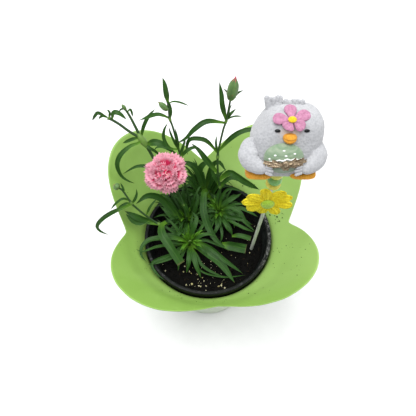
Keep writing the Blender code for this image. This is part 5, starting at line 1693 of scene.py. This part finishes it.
def body_facing(x, z):
    """The way that the front of the body faces over this (x, z)."""
    step = 0.2
    slope_x = (body_front(x + step, z) - body_front(x - step, z)) / (2 * step)
    slope_z = (body_front(x, z + step) - body_front(x, z - step)) / (2 * step)
    return Vector((slope_x, -1, slope_z)).normalized()


def seat_matrix(frame, x, z, outward):
    """A matrix this far in front of the chick's body over this (x, z): +Z faces out of the body."""
    facing = body_facing(x, z)
    at = Vector((x, body_front(x, z), z)) + facing * outward
    side = Z_AXIS.cross(facing).normalized()
    turn = Matrix((side, facing.cross(side), facing)).transposed().to_4x4()
    return frame @ Matrix.Translation(at * MM) @ turn


def fluff(at, size, fine_size):
    """How far small tufts of two sizes in mm raise the surface here, from about -1 to 1."""
    return noise.noise(at / size) + 0.5 * noise.noise(at / fine_size)


def soft_ball(shape, matrix, radii, power, detail, nap, tuft, settle=None):
    """A stuffed form in mm, with small tufts all over it.

    The function settle may move a point, and gives how much of its material's tint shows there.
    """

    def point(lift, turn):
        way = around(math.cos(lift), turn, math.sin(lift))
        size = sum(abs(part) ** power for part in way) ** (-1 / power)
        at = Vector([part * size * radius for part, radius in zip(way, radii)])
        at += way * (nap * fluff(at, tuft, 0.45 * tuft))
        tint = settle(at) if settle else 0
        return matrix @ (at * MM), (tint, 0, 0, 0)

    shape.ball(*detail, point)


def limb(shape, frame, route, radii, flat, nap, detail):
    """A stuffed limb through points in mm, of these half widths, flattened across its facing."""
    columns, rows = detail
    points = smooth_route([Vector(at) for at in route], rows + 1)
    widths = smooth_route([Vector((radius, 0, 0)) for radius in radii], rows + 1)
    rings = []
    side = None
    for index, at in enumerate(points):
        _, side, up = frame_along(points, index, LIMB_FACE, side)
        end = min(index, rows - index) / rows
        rounding = math.sqrt(1 - max(0, 1 - end / 0.16) ** 2)
        half = max(0.15, widths[index].x * rounding)
        ring = []
        for turn in turns(columns):
            out = side * math.cos(turn) * half + up * math.sin(turn) * half * flat
            out += out.normalized() * nap * fluff(at + out, 1.5, 0.7)
            ring.append(frame @ ((at + out) * MM))
        rings.append(ring)
    shape.loft(rings)


def short_limb(shape, frame, start, tip, *form):
    """A limb that runs straight from one point to another, in mm."""
    limb(shape, frame, (start, halfway(start, tip), tip), *form)


def settle_body(at):
    """Leans the body and draws in its shoulder at the viewer's left. The tint is the face's cream patch."""
    at.x *= 1 - BODY_SHOULDER * smoothstep(2, 20, at.z) * smoothstep(0, -12, at.x)
    at.x += BODY_SWAY * at.z
    if at.y >= 0:
        return 0
    away = math.hypot((at.x - CREAM_PLACE[0]) / CREAM_RADII[0], (at.z - CREAM_PLACE[1]) / CREAM_RADII[1])
    return 0.7 * (1 - smoothstep(0.3, 1.0, away))


def build_body(frame, white):
    shape = Shape()
    matrix = frame @ Matrix.Translation(Vector((BODY_OFFSET, 0, 0)) * MM)
    soft_ball(shape, matrix, BODY_RADII, BODY_POWER, (200, 140), 0.3, 1.3, settle_body)
    made = shape.finish("chick_plush_body", [white], ("chick_body",))


def build_wing(frame, side, side_name, white):
    """A mitten that comes round from the side to hold the egg, with three stubby finger tips."""

    def at(x, y, z):
        return (BELLY_OFFSET + side * x, y, z)

    shape = Shape()
    limb(shape, frame, [at(*point) for point in WING_ROUTE], WING_RADII, 0.8, 0.28, (48, 44))
    for finger in (-1, 0, 1):
        spread = FINGER_SPREAD * finger
        start = at(FINGER_START[0], FINGER_START[1], FINGER_START[2] + spread)
        tip = at(FINGER_TIP[0] + 0.6 * abs(finger), FINGER_TIP[1], FINGER_TIP[2] + 1.3 * spread)
        short_limb(shape, frame, start, tip, (1.7, 1.6, 1.0), 0.85, 0.12, (16, 12))
    made = shape.finish(f"wing_{side_name}_plush", [white], (f"wing_{side_name}",))


def build_foot(frame, side, side_name, orange):
    shape = Shape()
    across, depth, height = FOOT_PLACE
    middle = Vector((FEET_MIDDLE + side * across, depth, height)) * MM
    soft_ball(shape, frame @ Matrix.Translation(middle), FOOT_RADII, 3.4, (56, 28), 0.14, 0.8)
    shape.finish(f"foot_{side_name}_felt", [orange], (f"foot_{side_name}",))


def build_eye(frame, side, side_name):
    shape = Shape()
    seat = seat_matrix(frame, EYES_MIDDLE + side * EYE_PLACE[0], EYE_PLACE[1], 0.15)
    soft_ball(shape, seat, EYE_RADII, 2.2, (32, 20), 0, 1)
    shape.finish(f"eye_{side_name}_bead", [eye_look("eye_gloss_" + side_name)], (f"eye_{side_name}",))


def build_crests(frame, white):
    """Two rows of plush tufts on the chick's head."""
    rng = random.Random(12)
    for side_name, (root_x, height, tips) in CRESTS.items():
        shape = Shape()
        for tip_x in tips:
            tip = (tip_x, CREST_DEPTH + rng.uniform(-1, 1), height + rng.uniform(-1.6, 0.6))
            start = (root_x + 0.45 * (tip_x - root_x), CREST_DEPTH, CREST_ROOT_HEIGHT)
            short_limb(shape, frame, start, tip, (2.8, 2.7, 1.7), 0.8, 0.32, (24, 22))
        shape.finish(f"crest_{side_name}_tuft", [white], (f"crest_{side_name}",))


def build_beak(frame, orange):
    """A stuffed beak, wide at its top and rounded to a point, with a crease across it."""
    seat = seat_matrix(frame, *BEAK_PLACE, 0.3)
    wide, tall, deep = BEAK_RADII

    def point(lift, turn):
        y = tall * math.sin(lift)
        x = wide * math.cos(lift) ** 0.85 * math.cos(turn) * (1 + 0.045 * y)
        z = deep * math.cos(lift) ** 0.8 * math.sin(turn)
        crease = 1 - 0.16 * math.exp(-(((y + 0.6 - 0.05 * x * x) / 0.5) ** 2)) * smoothstep(0.5, 2.5, z)
        return seat @ (Vector((x, y, z * crease)) * MM), (0, 0, 0, 0)

    shape = Shape()
    shape.ball(48, 34, point)
    shape.finish("beak_felt", [orange], ("beak",))


def build_head_flower(frame):
    """Five stuffed pink petals over the forehead, and a golden middle."""
    pink = cloth_look("felt_pink", (0.33, 0.13, 0.215), (0.47, 0.225, 0.335), 1300, 0.45, 0.08)
    gold = cloth_look("felt_gold", (0.5, 0.3, 0.008), (0.75, 0.55, 0.03), 1500, 0.3, 0.2)
    seat = seat_matrix(frame, *HEAD_FLOWER_PLACE, 1.8) @ Matrix.Rotation(HEAD_FLOWER_TILT, 4, "X")
    shape = Shape()
    for turn, length, bend in HEAD_PETALS:
        aim = Matrix.Rotation(math.radians(turn), 4, "Z") @ Matrix.Rotation(math.radians(bend), 4, "Y")
        puffy_petal(shape, seat @ aim, length * MM, HEAD_PETAL_WIDTH, HEAD_PETAL_THICKNESS)
    shape.finish("head_flower_petals", [pink], ("head_flower",))
    middle = Shape()
    soft_ball(middle, seat @ Matrix.Translation((0, 0, 1.4 * MM)), (2.9, 2.3, 1.2), 2.0, (40, 24), 0.08, 0.7)
    middle.finish("head_flower_button", [gold], ("head_flower_middle",))


def egg_point(frame, x, z, outward):
    """A point this far in front of the egg over this (x, z) from its middle, in mm."""
    rest = max(0, 1 - (x / EGG_RADII[0]) ** 2 - (z / EGG_RADII[2]) ** 2)
    y = -EGG_RADII[1] * math.sqrt(rest) - outward
    return frame @ ((Vector(EGG_MIDDLE) + Vector((x, y, z))) * MM)


def egg_line(x):
    """The height of the wavy line round the egg, from its middle, in mm."""
    return 1.4 - 0.013 * (x - 4) ** 2 + 0.45 * math.sin(1.15 * x)


def build_egg(frame):
    """The egg that the chick holds: green cloth, more streaked under a wavy line."""

    def point(lift, turn):
        way = around(math.cos(lift), turn, math.sin(lift))
        at = Vector([part * radius for part, radius in zip(way, EGG_RADII)])
        lower = 1 - smoothstep(-0.4, 0.4, at.z - egg_line(at.x))
        return frame @ ((Vector(EGG_MIDDLE) + at) * MM), (0, 0, 0, lower)

    shape = Shape()
    shape.ball(96, 64, point)
    made = shape.finish("egg_cloth_shell", [egg_look()], ("egg",))


def build_egg_trim(frame):
    """White dots on the egg and a white wavy line round it."""
    shape = Shape()
    level = frame.to_quaternion().to_matrix().to_4x4()
    for x, z in EGG_DOTS:
        at = Matrix.Translation(egg_point(frame, x, z, -0.1))
        soft_ball(shape, at @ level, (1.0, 0.4, 0.65), 2, (20, 12), 0.05, 0.6)
    places = [EGG_LINE_HALF_LENGTH * (step / 11 - 1) for step in range(23)]
    route = smooth_route([egg_point(frame, x, egg_line(x), 0.1) for x in places], EGG_LINE_STEPS)
    tube(shape, route, [(0.55 + 0.14 * math.sin(1.9 * i)) * MM for i in range(EGG_LINE_STEPS)], 0, None, 10)
    white = cloth_look("trim_white", (0.62, 0.64, 0.62), (0.85, 0.86, 0.85), 1500, 0.2, 0.1)
    shape.finish("egg_trim", [white], ())


def build_bow(frame):
    """A ribbon bow: pleated loops that spread to both sides of a knot."""
    shape = Shape()
    facing = frame.to_3x3() @ Vector((0, -1, 0.2))
    for turn, reach, width, bulge in BOW_PLEATS:
        way = Vector((math.cos(math.radians(turn)), 0, math.sin(math.radians(turn))))
        points = []
        for part in (0, 0.35, 0.7, 1):
            depth = 0.042 * reach**1.6 * part**2 - bulge * math.sin(math.pi * min(1, part * 1.1))
            points.append(frame @ ((BOW_MIDDLE + way * reach * part + Vector((0, depth, 0))) * MM))
        blade(shape, points, width * MM, facing, 0.5, True, 0.5, 0.15, 14)
    knot = frame @ Matrix.Translation((BOW_MIDDLE + Vector((0, -1.0, 0))) * MM)
    soft_ball(shape, knot, (2.4, 1.6, 2.2), 2.2, (28, 18), 0.2, 1.2)
    look = glitter_look("bow_glitter", (0.12, 0.08, 0.045), (0.27, 0.2, 0.12))
    shape.finish("bow_ribbon", [look], ("bow",))


def build_chick():
    """The plush chick with its felt feet and beak, the flower on its head and the egg that it holds."""
    frame = chick_frame()
    dark, light, cream = (0.33, 0.335, 0.35), (0.45, 0.455, 0.47), (0.6, 0.47, 0.4)
    white = cloth_look("plush_white", dark, light, 1100, 0.7, 0.35, tint=cream)
    orange = cloth_look("felt_orange", (0.5, 0.2, 0.02), (0.72, 0.36, 0.05), 1600, 0.35, 0.1)
    build_body(frame, white)
    for side, side_name in ((-1, "left"), (1, "right")):
        build_wing(frame, side, side_name, white)
        build_foot(frame, side, side_name, orange)
        build_eye(frame, side, side_name)
    build_crests(frame, white)
    build_beak(frame, orange)
    build_head_flower(frame)
    build_egg(frame)
    build_egg_trim(frame)
    build_bow(frame)


# The set.


def add_object(name, data):
    made = bpy.data.objects.new(name, data)
    bpy.context.collection.objects.link(made)
    return made


def build_floor():
    bm = bmesh.new()
    bmesh.ops.create_grid(bm, x_segments=8, y_segments=8, size=FLOOR_HALF_WIDTH)
    mesh = bpy.data.meshes.new("floor")
    bm.to_mesh(mesh)
    bm.free()
    mesh.materials.append(floor_look())
    floor = add_object("floor", mesh)


def build_lights():
    for name, at, size, power in LIGHTS:
        data = bpy.data.lights.new(name, "AREA")
        data.size = size
        data.energy = power
        light = add_object(name, data)
        light.location = at
        light.rotation_euler = (LIGHTS_AIM - light.location).to_track_quat("-Z", "Y").to_euler()
    world = bpy.data.worlds.new("studio")
    world.use_nodes = True
    background = world.node_tree.nodes["Background"]
    background.inputs["Color"].default_value = WORLD_COLOR
    background.inputs["Strength"].default_value = WORLD_STRENGTH
    bpy.context.scene.world = world


def build_camera():
    """The photograph's camera."""
    data = bpy.data.cameras.new("camera")
    data.sensor_width = SENSOR_WIDTH
    data.lens = SENSOR_WIDTH * VIEW_FOCAL_PIXELS / VIEW_FRAME_PIXELS
    camera = add_object("camera", data)
    camera.location = VIEW_EYE
    camera.rotation_euler = (QUARTER_TURN - VIEW_PITCH, 0, 0)
    bpy.context.scene.camera = camera
    bpy.context.scene.view_settings.view_transform = "Standard"


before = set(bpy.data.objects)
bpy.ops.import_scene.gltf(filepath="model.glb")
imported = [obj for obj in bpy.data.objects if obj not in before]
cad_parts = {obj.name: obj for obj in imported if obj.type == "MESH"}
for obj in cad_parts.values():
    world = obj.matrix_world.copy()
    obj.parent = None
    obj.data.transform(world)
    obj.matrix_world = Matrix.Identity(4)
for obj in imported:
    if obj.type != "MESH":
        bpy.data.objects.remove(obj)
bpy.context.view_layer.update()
build_floor()
build_lights()
build_camera()
LOOKS = {
    "leaf": leaf_look("leaf_skin", (0.004, 0.027, 0.003), (0.036, 0.108, 0.015), 0.45),
    "young": leaf_look("young_leaf_skin", (0.018, 0.085, 0.004), (0.09, 0.24, 0.015), 0.42),
    "stem": stem_look(),
    "calyx": calyx_look(),
    "petal": petal_look(),
    "style": cloth_look("style_cream", (0.7, 0.55, 0.45), (0.9, 0.8, 0.7), 1500, 0.1, 0.2, 0.6),
}
build_sleeve()
build_pot()
build_soil()
build_spilt_soil()
build_stems(LOOKS)
build_leaves(LOOKS)
build_crowns(LOOKS)
build_buds(LOOKS)
build_flower(LOOKS)
build_stick()
build_beads()
build_felt_flower()
build_chick()
